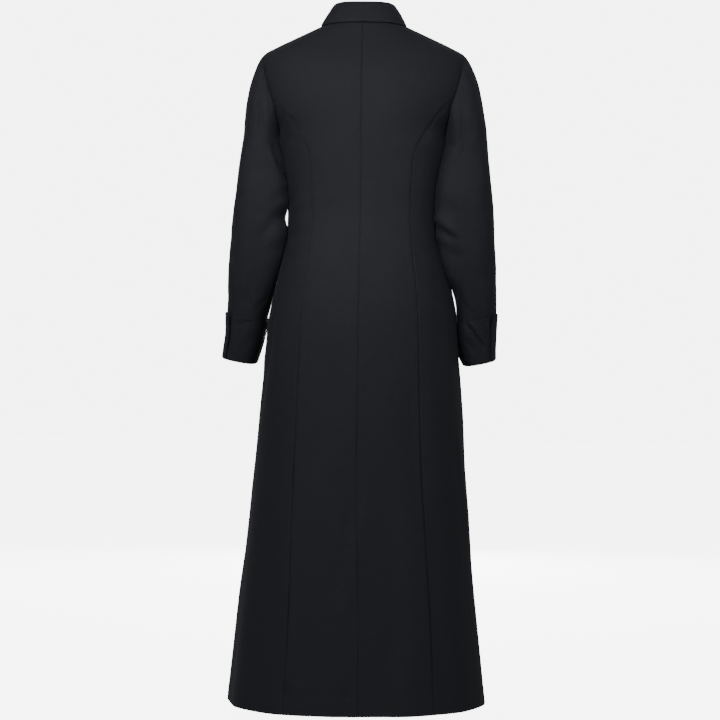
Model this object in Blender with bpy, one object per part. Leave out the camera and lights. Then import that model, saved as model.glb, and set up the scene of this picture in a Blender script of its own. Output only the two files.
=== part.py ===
# Clergy robe, worn and hollow: eight panels, two sleeves with turned cuffs, a collar and buttons
# Metres, +Z up. The back faces +Y and the wearer's left is +X
# The origin lies between the shoulders, level with the points where they meet the neck

import bpy
import bmesh
import numpy as np

wall = 0.0015
seamGap = 0.0003
hemLevel = -1.384

# Body: half widths and depths of the level sections, measured from the middle
sectionColumns = ("level", "half", "back", "front")
sectionRows = (
    (0.000, 0.0700, 0.0600, 0.0120),
    (-0.016, 0.1045, 0.0660, 0.0270),
    (-0.033, 0.1410, 0.0730, 0.0430),
    (-0.050, 0.1770, 0.0810, 0.0570),
    (-0.066, 0.2055, 0.0890, 0.0690),
    (-0.085, 0.2150, 0.0970, 0.0800),
    (-0.110, 0.2170, 0.1050, 0.0910),
    (-0.140, 0.2140, 0.1110, 0.1020),
    (-0.170, 0.2060, 0.1130, 0.1110),
    (-0.195, 0.1930, 0.1125, 0.1170),
    (-0.215, 0.1780, 0.1110, 0.1210),
    (-0.260, 0.1715, 0.1060, 0.1260),
    (-0.320, 0.1590, 0.0980, 0.1200),
    (-0.396, 0.1530, 0.0920, 0.1080),
    (-0.453, 0.1570, 0.1000, 0.1110),
    (-0.510, 0.1695, 0.1150, 0.1180),
    (-0.597, 0.1880, 0.1290, 0.1260),
    (-0.655, 0.1925, 0.1345, 0.1315),
    (-0.720, 0.1990, 0.1400, 0.1370),
    (-0.935, 0.2160, 0.1580, 0.1570),
    (-1.181, 0.2378, 0.1820, 0.1820),
    (-1.384, 0.2580, 0.2040, 0.2040),
)
boxiness = 0.06
bustReach, bustSide, bustLevel, bustSpread = 0.012, 0.085, -0.262, 0.050
bladeReach, bladeSide, bladeLevel, bladeSpread = 0.004, 0.085, -0.130, 0.055

# Skirt flutes: where round the hem each ridge lies, how wide and how far out
fluteColumns = ("degrees", "spread", "reach", "start")
fluteRows = (
    (-167, 11, 0.0050, -0.62),
    (-139, 12, 0.0065, -0.55),
    (-108, 11, 0.0050, -0.70),
    (-78, 13, 0.0060, -0.60),
    (-49, 10, 0.0050, -0.75),
    (-24, 10, 0.0060, -0.66),
    (7, 11, 0.0045, -0.72),
    (33, 12, 0.0065, -0.60),
    (62, 11, 0.0050, -0.70),
    (90, 12, 0.0060, -0.62),
    (121, 12, 0.0055, -0.66),
    (151, 11, 0.0060, -0.58),
)

# Armhole: how far it runs from the side towards the back and the front, in degrees
armholeColumns = ("level", "back", "front")
armholeUpper = (
    (-0.066, 0.0, 0.0),
    (-0.069, 12.0, 13.0),
    (-0.080, 22.5, 23.5),
    (-0.109, 27.5, 29.0),
    (-0.137, 30.0, 32.0),
    (-0.165, 33.0, 34.5),
    (-0.192, 40.0, 40.0),
)
armholeLower = (
    (-0.192, 40.0, 40.0),
    (-0.206, 29.5, 29.5),
    (-0.213, 15.0, 16.0),
    (-0.215, 0.0, 0.0),
)

# Princess seams: how far they lie from the middle
princessColumns = ("level", "back", "front")
princessRows = (
    (-0.202, 0.1440, 0.1400),
    (-0.228, 0.1240, 0.1140),
    (-0.260, 0.1100, 0.0960),
    (-0.325, 0.1015, 0.0830),
    (-0.394, 0.0995, 0.0780),
    (-0.570, 0.1160, 0.0960),
    (-0.815, 0.1240, 0.1120),
    (-1.068, 0.1360, 0.1300),
    (-1.384, 0.1510, 0.1480),
)

# Neckline and the lap of the fronts, the right one outside
neckHalf = 0.070
neckDrop = 0.074
lapReach = 0.015
lapLift = 0.0021
lapFade = 0.018

# Rows and columns of the panels
chestLevel = -0.260
hipLevel = -0.580
neckSteps, shoulderSteps, sideSteps = 6, 5, 5
armholeSteps, seamSteps = 7, 3
waistSteps, skirtSteps = 8, 7

# Sleeve: level sections of the arm, its middle, how much the outer side and the front sit higher
sleeveColumns = ("level", "inner", "outer", "middle", "depth", "outRise", "frontRise")
sleeveRows = (
    (-0.258, 0.1730, 0.2500, 0.003, 0.0650, 0.000, 0.000),
    (-0.320, 0.1605, 0.2570, 0.004, 0.0620, 0.000, 0.000),
    (-0.381, 0.1565, 0.2634, 0.002, 0.0590, 0.000, 0.000),
    (-0.443, 0.1585, 0.2680, -0.004, 0.0570, 0.002, 0.002),
    (-0.504, 0.1703, 0.2712, -0.014, 0.0560, 0.006, 0.006),
    (-0.566, 0.1848, 0.2727, -0.027, 0.0545, 0.012, 0.011),
    (-0.600, 0.1942, 0.2735, -0.034, 0.0530, 0.015, 0.012),
    (-0.645, 0.2012, 0.2735, -0.043, 0.0515, 0.015, 0.013),
    (-0.690, 0.2085, 0.2730, -0.051, 0.0500, 0.013, 0.013),
)
capSteps, upperArmSteps, lowerArmSteps = 5, 5, 4
elbowLevel = -0.443
capStart, capEnd, capLift, underLift = 0.85, 0.80, 0.48, 0.65

# The two arms hang a little differently: how far each side's edges move outwards
armColumns = ("level", "leftInner", "leftOuter", "rightInner", "rightOuter")
armRows = (
    (-0.258, 0.0000, 0.0000, 0.0000, 0.0000),
    (-0.390, 0.0000, -0.0020, -0.0010, 0.0020),
    (-0.450, 0.0000, -0.0030, 0.0005, 0.0030),
    (-0.560, 0.0000, -0.0030, 0.0045, 0.0030),
    (-0.690, 0.0000, -0.0030, 0.0040, 0.0030),
)

# Cuff: turned up at its fold, with a slit at the outer side whose front end stands out
foldLevel = -0.690
cuffTopLevel = -0.600
cuffSeamHeight = 0.014
cuffSpace = 0.0006
cuffRows = 3
slitColumn = 1
slitGap = 0.0012
slitFlare = 0.0065
slitFlareDegrees = 26
topFlare = 0.0012

# Collar: a stand on the neckline and a fall that rolls over it
standColumns = ("turn", "height", "lean")
standRows = (
    (0, 0.0305, 0.26),
    (90, 0.0300, 0.33),
    (135, 0.0290, 0.40),
    (180, 0.0270, 0.50),
)
rollRadius = 0.0020
rollRise = 0.0015
leafColumns = ("turn", "side", "level", "lift")
leafRows = (
    (0, 0.0000, -0.0075, 0.0065),
    (45, 0.0640, -0.0075, 0.0060),
    (90, 0.0858, -0.0075, 0.0040),
    (115, 0.0860, -0.0250, 0.0035),
    (140, 0.0770, -0.0490, 0.0035),
    (160, 0.0630, -0.0750, 0.0035),
    (180, 0.0470, -0.0980, 0.0035),
)
leafSteps = 4
leafBow = 0.0025

# Buttons down the centre front
buttonCount = 9
buttonTop = -0.100
buttonStep = 0.115
buttonRadius = 0.0075
buttonThick = 0.0026
buttonSides = 12


def table(columns, rows):
    # One array for each named column
    return dict(zip(columns, np.array(rows, dtype=float).T))


def through(knots, values, at):
    # Smooth curve through the knots, each slope taken from the knots beside it
    order = np.argsort(knots)
    knots, values = np.asarray(knots, float)[order], np.asarray(values, float)[order]
    slopes = np.gradient(values, knots)
    i = np.clip(np.searchsorted(knots, at, side="right") - 1, 0, len(knots) - 2)
    span = knots[i + 1] - knots[i]
    t = np.clip((at - knots[i]) / span, 0, 1)
    return (values[i] * (2 * t**3 - 3 * t**2 + 1) + slopes[i] * span * (t**3 - 2 * t**2 + t)
            + values[i + 1] * (3 * t**2 - 2 * t**3) + slopes[i + 1] * span * (t**3 - t**2))


def unit(vectors):
    return vectors / np.maximum(np.linalg.norm(vectors, axis=-1, keepdims=True), 1e-12)


def ramp(value):
    # Eases from 0 to 1
    t = np.clip(value, 0, 1)
    return t * t * (3 - 2 * t)


sections = table(sectionColumns, sectionRows)
flutes = table(fluteColumns, fluteRows)
princess = table(princessColumns, princessRows)
sleeve = table(sleeveColumns, sleeveRows)
arms = table(armColumns, armRows)
stand = table(standColumns, standRows)
leaf = table(leafColumns, leafRows)


# Body surface

def bodyPoint(angle, level):
    # A section is a slightly squared oval; angle 0 is the centre back and 90 degrees the left side
    angle, level = np.broadcast_arrays(angle, level)
    half = through(sections["level"], sections["half"], level)
    back = through(sections["level"], sections["back"], level)
    front = through(sections["level"], sections["front"], level)
    full = 1 + boxiness * np.sin(2 * angle) ** 2
    x = half * np.sin(angle) * full
    y = np.where(np.cos(angle) >= 0, back, front) * np.cos(angle) * full

    bust = np.exp(-((abs(x) - bustSide) ** 2 + (level - bustLevel) ** 2) / bustSpread**2)
    blade = np.exp(-((abs(x) - bladeSide) ** 2 + (level - bladeLevel) ** 2) / bladeSpread**2)
    y = y - bustReach * bust * np.clip(-np.cos(angle), 0, 1)
    y = y + bladeReach * blade * np.clip(np.cos(angle), 0, 1)

    out = np.zeros(x.shape)
    for degrees, spread, reach, start in zip(*(flutes[name] for name in fluteColumns)):
        away = np.degrees(np.angle(np.exp(1j * (angle - np.radians(degrees)))))
        out = out + reach * np.exp(-(away / spread) ** 2) * ramp((start - level) / (start - hemLevel))
    return np.stack([x + out * np.sin(angle), y + out * np.cos(angle), level + 0 * x], axis=-1)


def bodyNormal(angle, level):
    step = 1e-4
    across = bodyPoint(angle + step, level) - bodyPoint(angle - step, level)
    down = bodyPoint(angle, level - step) - bodyPoint(angle, level + step)
    return unit(np.cross(across, down))


def angleAt(side, level, front=False):
    # The angle at which a section lies this far from the middle
    quarter = np.linspace(0, np.pi / 2, 1441)
    reach = np.sin(quarter) * (1 + boxiness * np.sin(2 * quarter) ** 2)
    share = side / through(sections["level"], sections["half"], level)
    angle = np.sign(share) * np.interp(abs(share), reach, quarter)
    return np.pi - angle if front else angle


def sideOf(angle, level):
    return bodyPoint(angle, level)[..., 0]


# Seam lines, for the wearer's left: arrays of angle and level, which the right side mirrors

def evenly(angle, level, steps):
    # Steps of equal length along a line on the body
    points = bodyPoint(angle, level)
    run = np.append(0, np.cumsum(np.linalg.norm(np.diff(points, axis=0), axis=1)))
    at = np.linspace(0, run[-1], steps + 1)
    return np.interp(at, run, angle), np.interp(at, run, level)


def armholeLine(rows, column, steps):
    # From the side's angle towards the back or the front
    hole = table(armholeColumns, rows)
    away = np.radians(hole[column])
    run = np.append(0, np.cumsum(np.hypot(np.diff(away) * neckHalf * 2, np.diff(hole["level"]))))
    fine = np.linspace(0, run[-1], 400)
    turn = through(run, away, fine)
    angle = np.pi / 2 - turn if column == "back" else np.pi / 2 + turn
    return evenly(angle, through(run, hole["level"], fine), steps)


def princessLine(column, start, levels):
    # Starts where the armhole's upper part ends
    front = column == "front"
    knots = np.append(start[1], princess["level"])
    sides = np.append(sideOf(*start), princess[column])
    angle = angleAt(through(knots, sides, levels), levels, front)
    angle[0] = start[0]
    return angle


def neckLine(steps, front):
    # The neckline from the middle, or from the edge of the lap, to the shoulder's neck point
    if not front:
        fine = np.linspace(0, np.pi / 2, 400)
        return evenly(fine, 0 * fine, steps)
    turn = np.linspace(np.arcsin(lapReach / neckHalf), np.pi / 2, 400)
    level = neckLevel(neckHalf * np.sin(turn))
    return evenly(angleAt(neckHalf * np.sin(turn), level, True), level, steps)


def neckLevel(side):
    # The front neckline drops as a quarter of an oval
    return -neckDrop * np.sqrt(np.clip(1 - (side / neckHalf) ** 2, 0, 1)) ** 1.15


def shoulderLine():
    levels = np.linspace(0, armholeUpper[0][0], shoulderSteps + 1)
    return np.full(shoulderSteps + 1, np.pi / 2), levels


waistLevels = np.linspace(chestLevel, hipLevel, waistSteps + 1)
lowLevels = np.append(waistLevels, np.linspace(hipLevel, hemLevel, skirtSteps + 1)[1:])


# Panels: grids of angle and level

def fillGrid(top, bottom, left, right, blend):
    # Each point takes its share of all four sides
    u = np.linspace(0, 1, len(top))[None, :, None]
    v = blend[:, None, None]
    corners = ((1 - u) * (1 - v) * top[0] + u * (1 - v) * top[-1]
               + (1 - u) * v * bottom[0] + u * v * bottom[-1])
    return (1 - v) * top + v * bottom + (1 - u) * left[:, None] + u * right[:, None] - corners


def pairs(first, second):
    return np.stack([first, second], axis=-1)


def mainPanel(column):
    # Back or front, from the middle, or the lap's edge, to the armhole and the princess seam
    front = column == "front"
    neckAngle, neckLevels = neckLine(neckSteps, front)
    shoulderAngle, shoulderLevels = shoulderLine()
    topAngle = np.append(neckAngle, shoulderAngle[1:])
    topLevel = np.append(neckLevels, shoulderLevels[1:])

    holeAngle, holeLevel = armholeLine(armholeUpper, column, armholeSteps)
    seamLevels = np.linspace(holeLevel[-1], chestLevel, seamSteps + 1)
    start = holeAngle[-1], holeLevel[-1]
    rightLevel = np.append(holeLevel, seamLevels[1:])
    rightAngle = np.append(holeAngle, princessLine(column, start, seamLevels)[1:])

    blend = np.linspace(0, 1, len(rightLevel)) ** 1.5
    middle = sideOf(topAngle[0], topLevel[0])
    leftLevel = topLevel[0] + (chestLevel - topLevel[0]) * blend
    seamAngle = princessLine(column, start, np.append(start[1], lowLevels))[1:]
    seamSide = sideOf(seamAngle, lowLevels)
    share = np.linspace(0, 1, len(topAngle))
    lowSide = middle + (seamSide - middle)[:, None] * share

    upper = fillGrid(
        pairs(sideOf(topAngle, topLevel), topLevel), pairs(lowSide[0], chestLevel + 0 * share),
        pairs(middle + 0 * blend, leftLevel), pairs(sideOf(rightAngle, rightLevel), rightLevel), blend)
    angle = angleAt(upper[..., 0], upper[..., 1], front)
    angle[0], angle[:, -1] = topAngle, rightAngle
    lowAngle = angleAt(lowSide, lowLevels[:, None] + 0 * lowSide, front)
    lowAngle[:, -1] = seamAngle
    level = np.vstack([upper[..., 1], np.tile(lowLevels[1:, None], len(share))])
    angle = np.vstack([angle, lowAngle[1:]])
    return addLap(angle, level) if front else (angle, level)


def addLap(angle, level):
    # Two more columns carry the front past the centre line, level with the first one
    lapSides = np.array([-lapReach, 0.0])
    neck = neckLevel(lapSides)
    share = (level[:, :1] - level[0, 0]) / (hemLevel - level[0, 0])
    lapLevel = neck + (hemLevel - neck) * share
    lapAngle = angleAt(lapSides + 0 * lapLevel, lapLevel, True)
    return np.hstack([lapAngle, angle]), np.hstack([lapLevel, level])


def sidePanel(column):
    # From the princess seam to the side seam
    holeAngle, holeLevel = armholeLine(armholeLower, column, sideSteps)
    seamLevels = np.linspace(holeLevel[0], chestLevel, seamSteps + 1)
    start = holeAngle[0], holeLevel[0]
    leftAngle = princessLine(column, start, seamLevels)
    sideLevels = np.linspace(holeLevel[-1], chestLevel, seamSteps + 1)
    seamAngle = princessLine(column, start, np.append(start[1], lowLevels))[1:]
    share = np.linspace(0, 1, sideSteps + 1)
    lowAngle = seamAngle[:, None] + (np.pi / 2 - seamAngle)[:, None] * share
    blend = np.linspace(0, 1, seamSteps + 1)
    upper = fillGrid(
        pairs(holeAngle, holeLevel), pairs(lowAngle[0], chestLevel + 0 * share),
        pairs(leftAngle, seamLevels), pairs(np.pi / 2 + 0 * sideLevels, sideLevels), blend)
    level = np.vstack([upper[..., 1], np.tile(lowLevels[1:, None], sideSteps + 1)])
    return np.vstack([upper[..., 0], lowAngle[1:]]), level


# Walls

def tangents(line, ring=False):
    if ring:
        return unit(np.roll(line, -1, axis=0) - np.roll(line, 1, axis=0))
    return unit(np.gradient(line, axis=0))


def gridNormals(points, ring, hand):
    # Square to the grid; hand is 1 where columns times rows points outwards
    if ring:
        across = np.roll(points, -1, axis=1) - np.roll(points, 1, axis=1)
    else:
        across = np.gradient(points, axis=1)
    return hand * unit(np.cross(across, np.gradient(points, axis=0)))


def mitre(normalA, normalB):
    # The way through the wall where two pieces meet at an angle
    both = normalA + normalB
    slant = np.linalg.norm(both, axis=-1, keepdims=True) / 2
    return -wall * unit(both) / np.maximum(slant, 0.80)


def soften(vectors, ring=False):
    # Evens out how the seam's way through the wall turns from point to point
    ends = vectors[[-1]], vectors[[0]]
    if not ring:
        ends = vectors[[0]], vectors[[-1]]
    long = np.concatenate([ends[0], vectors, ends[1]])
    return (long[:-2] + 2 * long[1:-1] + long[2:]) / 4


def drawBack(outer, inner, sides, hand, ring=False):
    # Moves a seam's edge half the gap into its own piece, square to the seam's cut face
    turns = {"top": 1, "bottom": -1, "left": -1, "right": 1}
    picks = {"top": (0, slice(None)), "bottom": (-1, slice(None)),
             "left": (slice(None), 0), "right": (slice(None), -1)}
    moves = np.zeros(outer.shape)
    for side in sides:
        pick = picks[side]
        along = tangents(outer[pick], ring and side in ("top", "bottom"))
        moves[pick] += hand * turns[side] * unit(np.cross(along, inner[pick] - outer[pick])) * seamGap / 2
    return outer + moves, inner + moves


def quads(numbers):
    corners = (numbers[:-1, :-1], numbers[:-1, 1:], numbers[1:, 1:], numbers[1:, :-1])
    return np.stack(corners, axis=-1).reshape(-1, 4).tolist()


def addObject(name, points, faces, material):
    mesh = bpy.data.meshes.new(name)
    mesh.from_pydata(points.tolist(), [], faces)
    tidy = bmesh.new()
    tidy.from_mesh(mesh)
    bmesh.ops.recalc_face_normals(tidy, faces=tidy.faces)
    tidy.to_mesh(mesh)
    tidy.free()
    mesh.shade_smooth()
    mesh.set_sharp_from_angle(angle=np.radians(40))
    mesh.materials.append(material)
    made = bpy.data.objects.new(name, mesh)
    bpy.context.scene.collection.objects.link(made)
    return made


def addWall(name, outer, inner, material, ring=False):
    # A closed wall between two grids; a ring's last column meets its first
    rows, columns = outer.shape[:2]
    near = np.arange(rows * columns).reshape(rows, columns)
    if ring:
        near = np.hstack([near, near[:, :1]])
    far = near + rows * columns
    faces = quads(near) + quads(far)
    rims = [(near[0], far[0]), (near[-1], far[-1])]
    if not ring:
        rims += [(near[:, 0], far[:, 0]), (near[:, -1], far[:, -1])]
    for rimNear, rimFar in rims:
        faces += quads(np.stack([rimNear, rimFar]))
    points = np.concatenate([outer.reshape(-1, 3), inner.reshape(-1, 3)])
    return addObject(name, points, faces, material)


# Sleeve and cuff

def armRing(word, level, turn, grow=0.0):
    # Turn 0 is the outer side and 90 degrees the back
    at = {name: through(sleeve["level"], sleeve[name], level) for name in sleeveColumns[1:]}
    inner = at["inner"] + through(arms["level"], arms[word + "Inner"], level)
    outer = at["outer"] + through(arms["level"], arms[word + "Outer"], level)
    halfAcross = (outer - inner) / 2
    full = 1 + boxiness * np.sin(2 * turn) ** 2
    x = (halfAcross + grow) * np.cos(turn) * full
    y = (at["depth"] + grow) * np.sin(turn) * full
    z = level + at["outRise"] * x / (2 * halfAcross) - at["frontRise"] * y / (2 * at["depth"])
    return np.stack([x + inner + halfAcross, y + at["middle"], z + 0 * x], axis=-1)


def armholeRing():
    # Over the back from the shoulder's tip, under the arm and up the front
    lines = [armholeLine(armholeUpper, "back", armholeSteps), armholeLine(armholeLower, "back", sideSteps),
             armholeLine(armholeLower, "front", sideSteps), armholeLine(armholeUpper, "front", armholeSteps)]
    angle = np.concatenate([lines[0][0][:-1], lines[1][0][:-1], lines[2][0][::-1][:-1], lines[3][0][::-1][:-1]])
    level = np.concatenate([lines[0][1][:-1], lines[1][1][:-1], lines[2][1][::-1][:-1], lines[3][1][::-1][:-1]])
    return angle, level


def ringTurns(points):
    # Each half of the armhole, back and front, spans half a turn of the arm
    run = np.append(0, np.cumsum(np.linalg.norm(np.diff(np.vstack([points, points[:1]]), axis=0), axis=1)))
    under = armholeSteps + sideSteps
    backShare = run[:under] / run[under]
    frontShare = (run[under:-1] - run[under]) / (run[-1] - run[under])
    return np.pi * np.append(backShare, 1 + frontShare)


def sleeveLevels():
    upper = np.linspace(sleeve["level"][0], elbowLevel, upperArmSteps + 1)
    lower = np.linspace(elbowLevel, cuffTopLevel, lowerArmSteps + 1)[1:]
    return np.concatenate([upper, lower, cuffLevels()[::-1][1:-1], [foldLevel + cuffSeamHeight]])


def cuffLevels():
    # From just above the fold up to the cuff's top edge
    return np.linspace(foldLevel + rollClear(), cuffTopLevel, cuffRows + 1)


def rollClear():
    return wall + cuffSpace / 2


def sleeveGrid(word, ringPoints, ringNormals, turn):
    # The cap eases from the armhole to the first level ring, and the rings follow the arm
    levels = sleeveLevels()
    rings = armRing(word, levels[:, None], turn[None, :])
    gap = rings[0] - ringPoints
    length = np.linalg.norm(gap, axis=-1, keepdims=True)
    outwards = np.stack([np.cos(turn), np.sin(turn), 0 * turn], axis=-1)
    top = ((1 + np.cos(turn)) / 2)[:, None]
    lift = capLift * top * outwards + underLift * (1 - top) * ringNormals
    start = (unit(gap) + lift) * length * capStart
    finish = unit(rings[1] - rings[0]) * length * capEnd
    t = np.linspace(0, 1, capSteps + 1)[:-1, None, None] ** 0.9
    cap = (ringPoints * (2 * t**3 - 3 * t**2 + 1) + start * (t**3 - 2 * t**2 + t)
           + rings[0] * (3 * t**2 - 2 * t**3) + finish * (t**3 - t**2))
    return np.concatenate([cap, rings])


def cuffGrids(word, turn):
    # The cloth's outside and inside along a J: up from the fold, with the slit's ends apart
    columns = np.append(np.arange(slitColumn, len(turn)), np.arange(0, slitColumn + 1) + len(turn))
    around = turn[columns % len(turn)] + 2 * np.pi * (columns // len(turn))
    fromEnd = np.degrees(around[-1] - around)
    flare = slitFlare * np.exp(-(fromEnd / slitFlareDegrees) ** 2)
    halfRound = np.radians([180, 240, 300, 360])
    centre = cuffSpace / 2
    clear = rollClear()

    def station(level, grow, share):
        return armRing(word, level, around, grow + flare * share)

    outside = [station(foldLevel + cuffSeamHeight, -wall, 0.0)]
    inside = [station(foldLevel + cuffSeamHeight, 0.0, 0.0)]
    for bend in halfRound:
        for side, radius in ((outside, clear), (inside, cuffSpace / 2)):
            level = foldLevel + clear + radius * np.sin(bend)
            side.append(station(level, centre + radius * np.cos(bend), 0.8))
    for level in cuffLevels()[1:]:
        share = (level - foldLevel) / (cuffTopLevel - foldLevel)
        outside.append(station(level, cuffSpace + wall + topFlare * share, 0.8 + 0.2 * share))
        inside.append(station(level, cuffSpace + topFlare * share, 0.8 + 0.2 * share))
    outside, inside = np.array(outside), np.array(inside)

    along = unit(outside[:, 1] - outside[:, 0]), unit(outside[:, -1] - outside[:, -2])
    for side in (outside, inside):
        side[:, 0] += along[0] * slitGap / 2
        side[:, -1] -= along[1] * slitGap / 2
    return outside, inside


# Collar

def neckRing(hand):
    # From the centre front round to the centre back, on one side of the wearer
    frontAngle, frontLevel = mainPanel("front")
    neck = slice(1, 3 + neckSteps)
    backAngle, backLevel = neckLine(neckSteps, False)
    angle = np.append(frontAngle[0, neck], backAngle[::-1][1:])
    level = np.append(frontLevel[0, neck], backLevel[::-1][1:])
    return hand * angle, level, lapRise(hand, angle, level)


def lapRise(hand, angle, level):
    # The right front rises over the left one near the centre line; other places don't rise
    side = abs(sideOf(angle, level))
    near = 1 - ramp((side - lapReach - 0.002) / lapFade)
    inFront = np.cos(angle) < 0
    return np.where((hand < 0) & inFront, lapLift * near, 0.0)


def collarBase():
    # The whole neckline, from the left end at the centre front to the right end
    left, right = neckRing(1), neckRing(-1)
    angle, level, rise = (np.append(a, b[::-1][1:]) for a, b in zip(left, right))
    normal = bodyNormal(angle, level)
    return bodyPoint(angle, level) + rise[:, None] * normal, normal


def collarTurns(count):
    # Half the stations run over the left side and half over the right
    return 180 * abs(np.linspace(1, -1, count))


def standGrid(base):
    turn = collarTurns(len(base))
    outwards = tangents(base)
    outwards = unit(np.cross(outwards, [0, 0, 1]) * [1, 1, 0])
    outwards[[0, -1]] = (0, -1, 0)
    height = through(stand["turn"], stand["height"], turn)
    lean = through(stand["turn"], stand["lean"], turn)
    rise = unit(np.stack([0 * turn, 0 * turn, 1 + 0 * turn], axis=-1) - lean[:, None] * outwards)
    share = np.linspace(0, 1, 3)[:, None, None]
    return base + share * height[:, None] * rise, outwards, rise


def fallGrid(top, outwards, rise):
    # From the stand's top edge over the roll and down to the leaf's edge on the shoulders
    turn = collarTurns(len(top))
    neckSide = top - wall * outwards
    rows = [neckSide]
    centre = top + rollRise * rise + (rollRadius - wall) * outwards
    for bend in np.radians([180, 120, 60, 0]):
        rows.append(centre + rollRadius * (np.cos(bend) * outwards + np.sin(bend) * rise))
    side = through(leaf["turn"], leaf["side"], turn)
    level = through(leaf["turn"], leaf["level"], turn)
    lift = through(leaf["turn"], leaf["lift"], turn) + wall
    inFront = turn > 90
    angle = np.where(inFront, angleAt(side, level, True), angleAt(side, level, False))
    angle = np.where(abs(turn - 90) < 1e-6, np.pi / 2, angle)
    angle = angle * np.where(np.arange(len(turn)) < len(turn) / 2, 1, -1)
    edge = bodyPoint(angle, level) + lift[:, None] * bodyNormal(angle, level)
    start = rows[-1]
    bow = start + 0.45 * (edge - start) + leafBow * 2 * unit(outwards + rise)
    for t in np.linspace(0, 1, leafSteps + 1)[1:]:
        rows.append((1 - t) ** 2 * start + 2 * t * (1 - t) * bow + t**2 * edge)
    return np.array(rows)


# Materials and pieces

def plainMaterial(name, colour, roughness):
    material = bpy.data.materials.new(name)
    material.use_nodes = True
    shader = material.node_tree.nodes["Principled BSDF"]
    shader.inputs["Base Color"].default_value = (*colour, 1)
    shader.inputs["Roughness"].default_value = roughness
    shader.inputs["Metallic"].default_value = 0
    material.diffuse_color = (*colour, 1)
    return material


def clothMaterial(name):
    return plainMaterial(name, (0.0125, 0.0130, 0.0155), 0.72)


def buildSide(word, hand, neckThrough):
    ringAngle, ringLevel = armholeRing()
    ringPoints = bodyPoint(ringAngle, ringLevel)
    ringNormals = bodyNormal(ringAngle, ringLevel)
    turn = ringTurns(ringPoints)
    tube = sleeveGrid(word, ringPoints, ringNormals, turn)
    tubeNormals = gridNormals(tube, True, -1)
    seamThrough = mitre(ringNormals, tubeNormals[0])
    for _ in range(3):
        seamThrough = soften(seamThrough, True)
    tubeInner = tube - wall * tubeNormals
    tubeInner[0] = tube[0] + seamThrough
    mirror = np.array([hand, 1, 1])
    outer, inner = drawBack(tube * mirror, tubeInner * mirror, ("top", "bottom"), -hand, True)
    addWall(f"sleeve_{word}", outer, inner, clothMaterial(f"sleeve_{word}"), True)

    outside, inside = cuffGrids(word, turn)
    outside, inside = drawBack(outside * mirror, inside * mirror, ("top",), hand)
    addWall(f"cuff_{word}", outside, inside, clothMaterial(f"cuff_{word}"))

    under, last = armholeSteps + sideSteps, len(turn)
    holes = {"back": np.arange(0, armholeSteps + 1), "side_back": np.arange(armholeSteps, under + 1),
             "side_front": last - np.arange(armholeSteps, under + 1),
             "front": (last - np.arange(0, armholeSteps + 1)) % last}
    grids = {"back": mainPanel("back"), "side_back": sidePanel("back"),
             "side_front": sidePanel("front"), "front": mainPanel("front")}
    for name, (angle, level) in grids.items():
        facing = -hand if "front" in name else hand
        normal = bodyNormal(hand * angle, level)
        outer = bodyPoint(hand * angle, level)
        inner = outer - wall * normal
        hole = seamThrough[holes[name]] * mirror
        if name in ("back", "front"):
            neck = slice(0, len(neckThrough[name][hand]))
            inner[: armholeSteps + 1, -1] = outer[: armholeSteps + 1, -1] + hole
            inner[0, neck] = outer[0, neck] + neckThrough[name][hand]
        else:
            inner[0] = outer[0] + hole
        rise = lapRise(hand, angle, level)[..., None] * normal * (name == "front")
        sides = ("top", "left", "right") if name in ("back", "side_back", "side_front") else ("top", "right")
        outer, inner = drawBack(outer + rise, inner + rise, sides, facing)
        addWall(f"{name}_{word}", outer, inner, clothMaterial(f"{name}_{word}"))


def partEnds(points):
    # The two ends at the centre front stay a gap apart
    kept = points.copy()
    kept[:, 0, 0] = np.maximum(kept[:, 0, 0], seamGap)
    kept[:, -1, 0] = np.minimum(kept[:, -1, 0], -seamGap)
    return kept


def buildCollar():
    # Also gives the way through the wall along each panel's neckline, the lap's first column included
    base, baseNormals = collarBase()
    band, outwards, rise = standGrid(base)
    bandNormals = gridNormals(band, False, 1)
    bandNormals *= np.sign(np.sum(bandNormals * outwards, axis=-1, keepdims=True))
    bandInner = band - wall * bandNormals
    neckThrough = soften(soften(mitre(baseNormals, bandNormals[0])))
    bandInner[0] = band[0] + neckThrough
    fall = fallGrid(band[-1], outwards, rise)
    fallNormals = gridNormals(fall, False, -1)
    fallInner = fall - wall * fallNormals
    fall[0], fallInner[0] = bandInner[-1], band[-1]
    outer, inner = drawBack(band, bandInner, ("top", "bottom"), 1)
    addWall("collar_stand", partEnds(outer), partEnds(inner), clothMaterial("collar_stand"))
    outer, inner = drawBack(fall, fallInner, ("top",), -1)
    addWall("collar_fall", partEnds(outer), partEnds(inner), clothMaterial("collar_fall"))

    middle, last = len(base) // 2, len(base) - 1
    frontLeft = np.append(0, np.arange(0, neckSteps + 2))
    backLeft = middle - np.arange(0, neckSteps + 1)
    return {"back": {1: neckThrough[backLeft], -1: neckThrough[last - backLeft]},
            "front": {1: neckThrough[frontLeft], -1: neckThrough[last - frontLeft]}}


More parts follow.
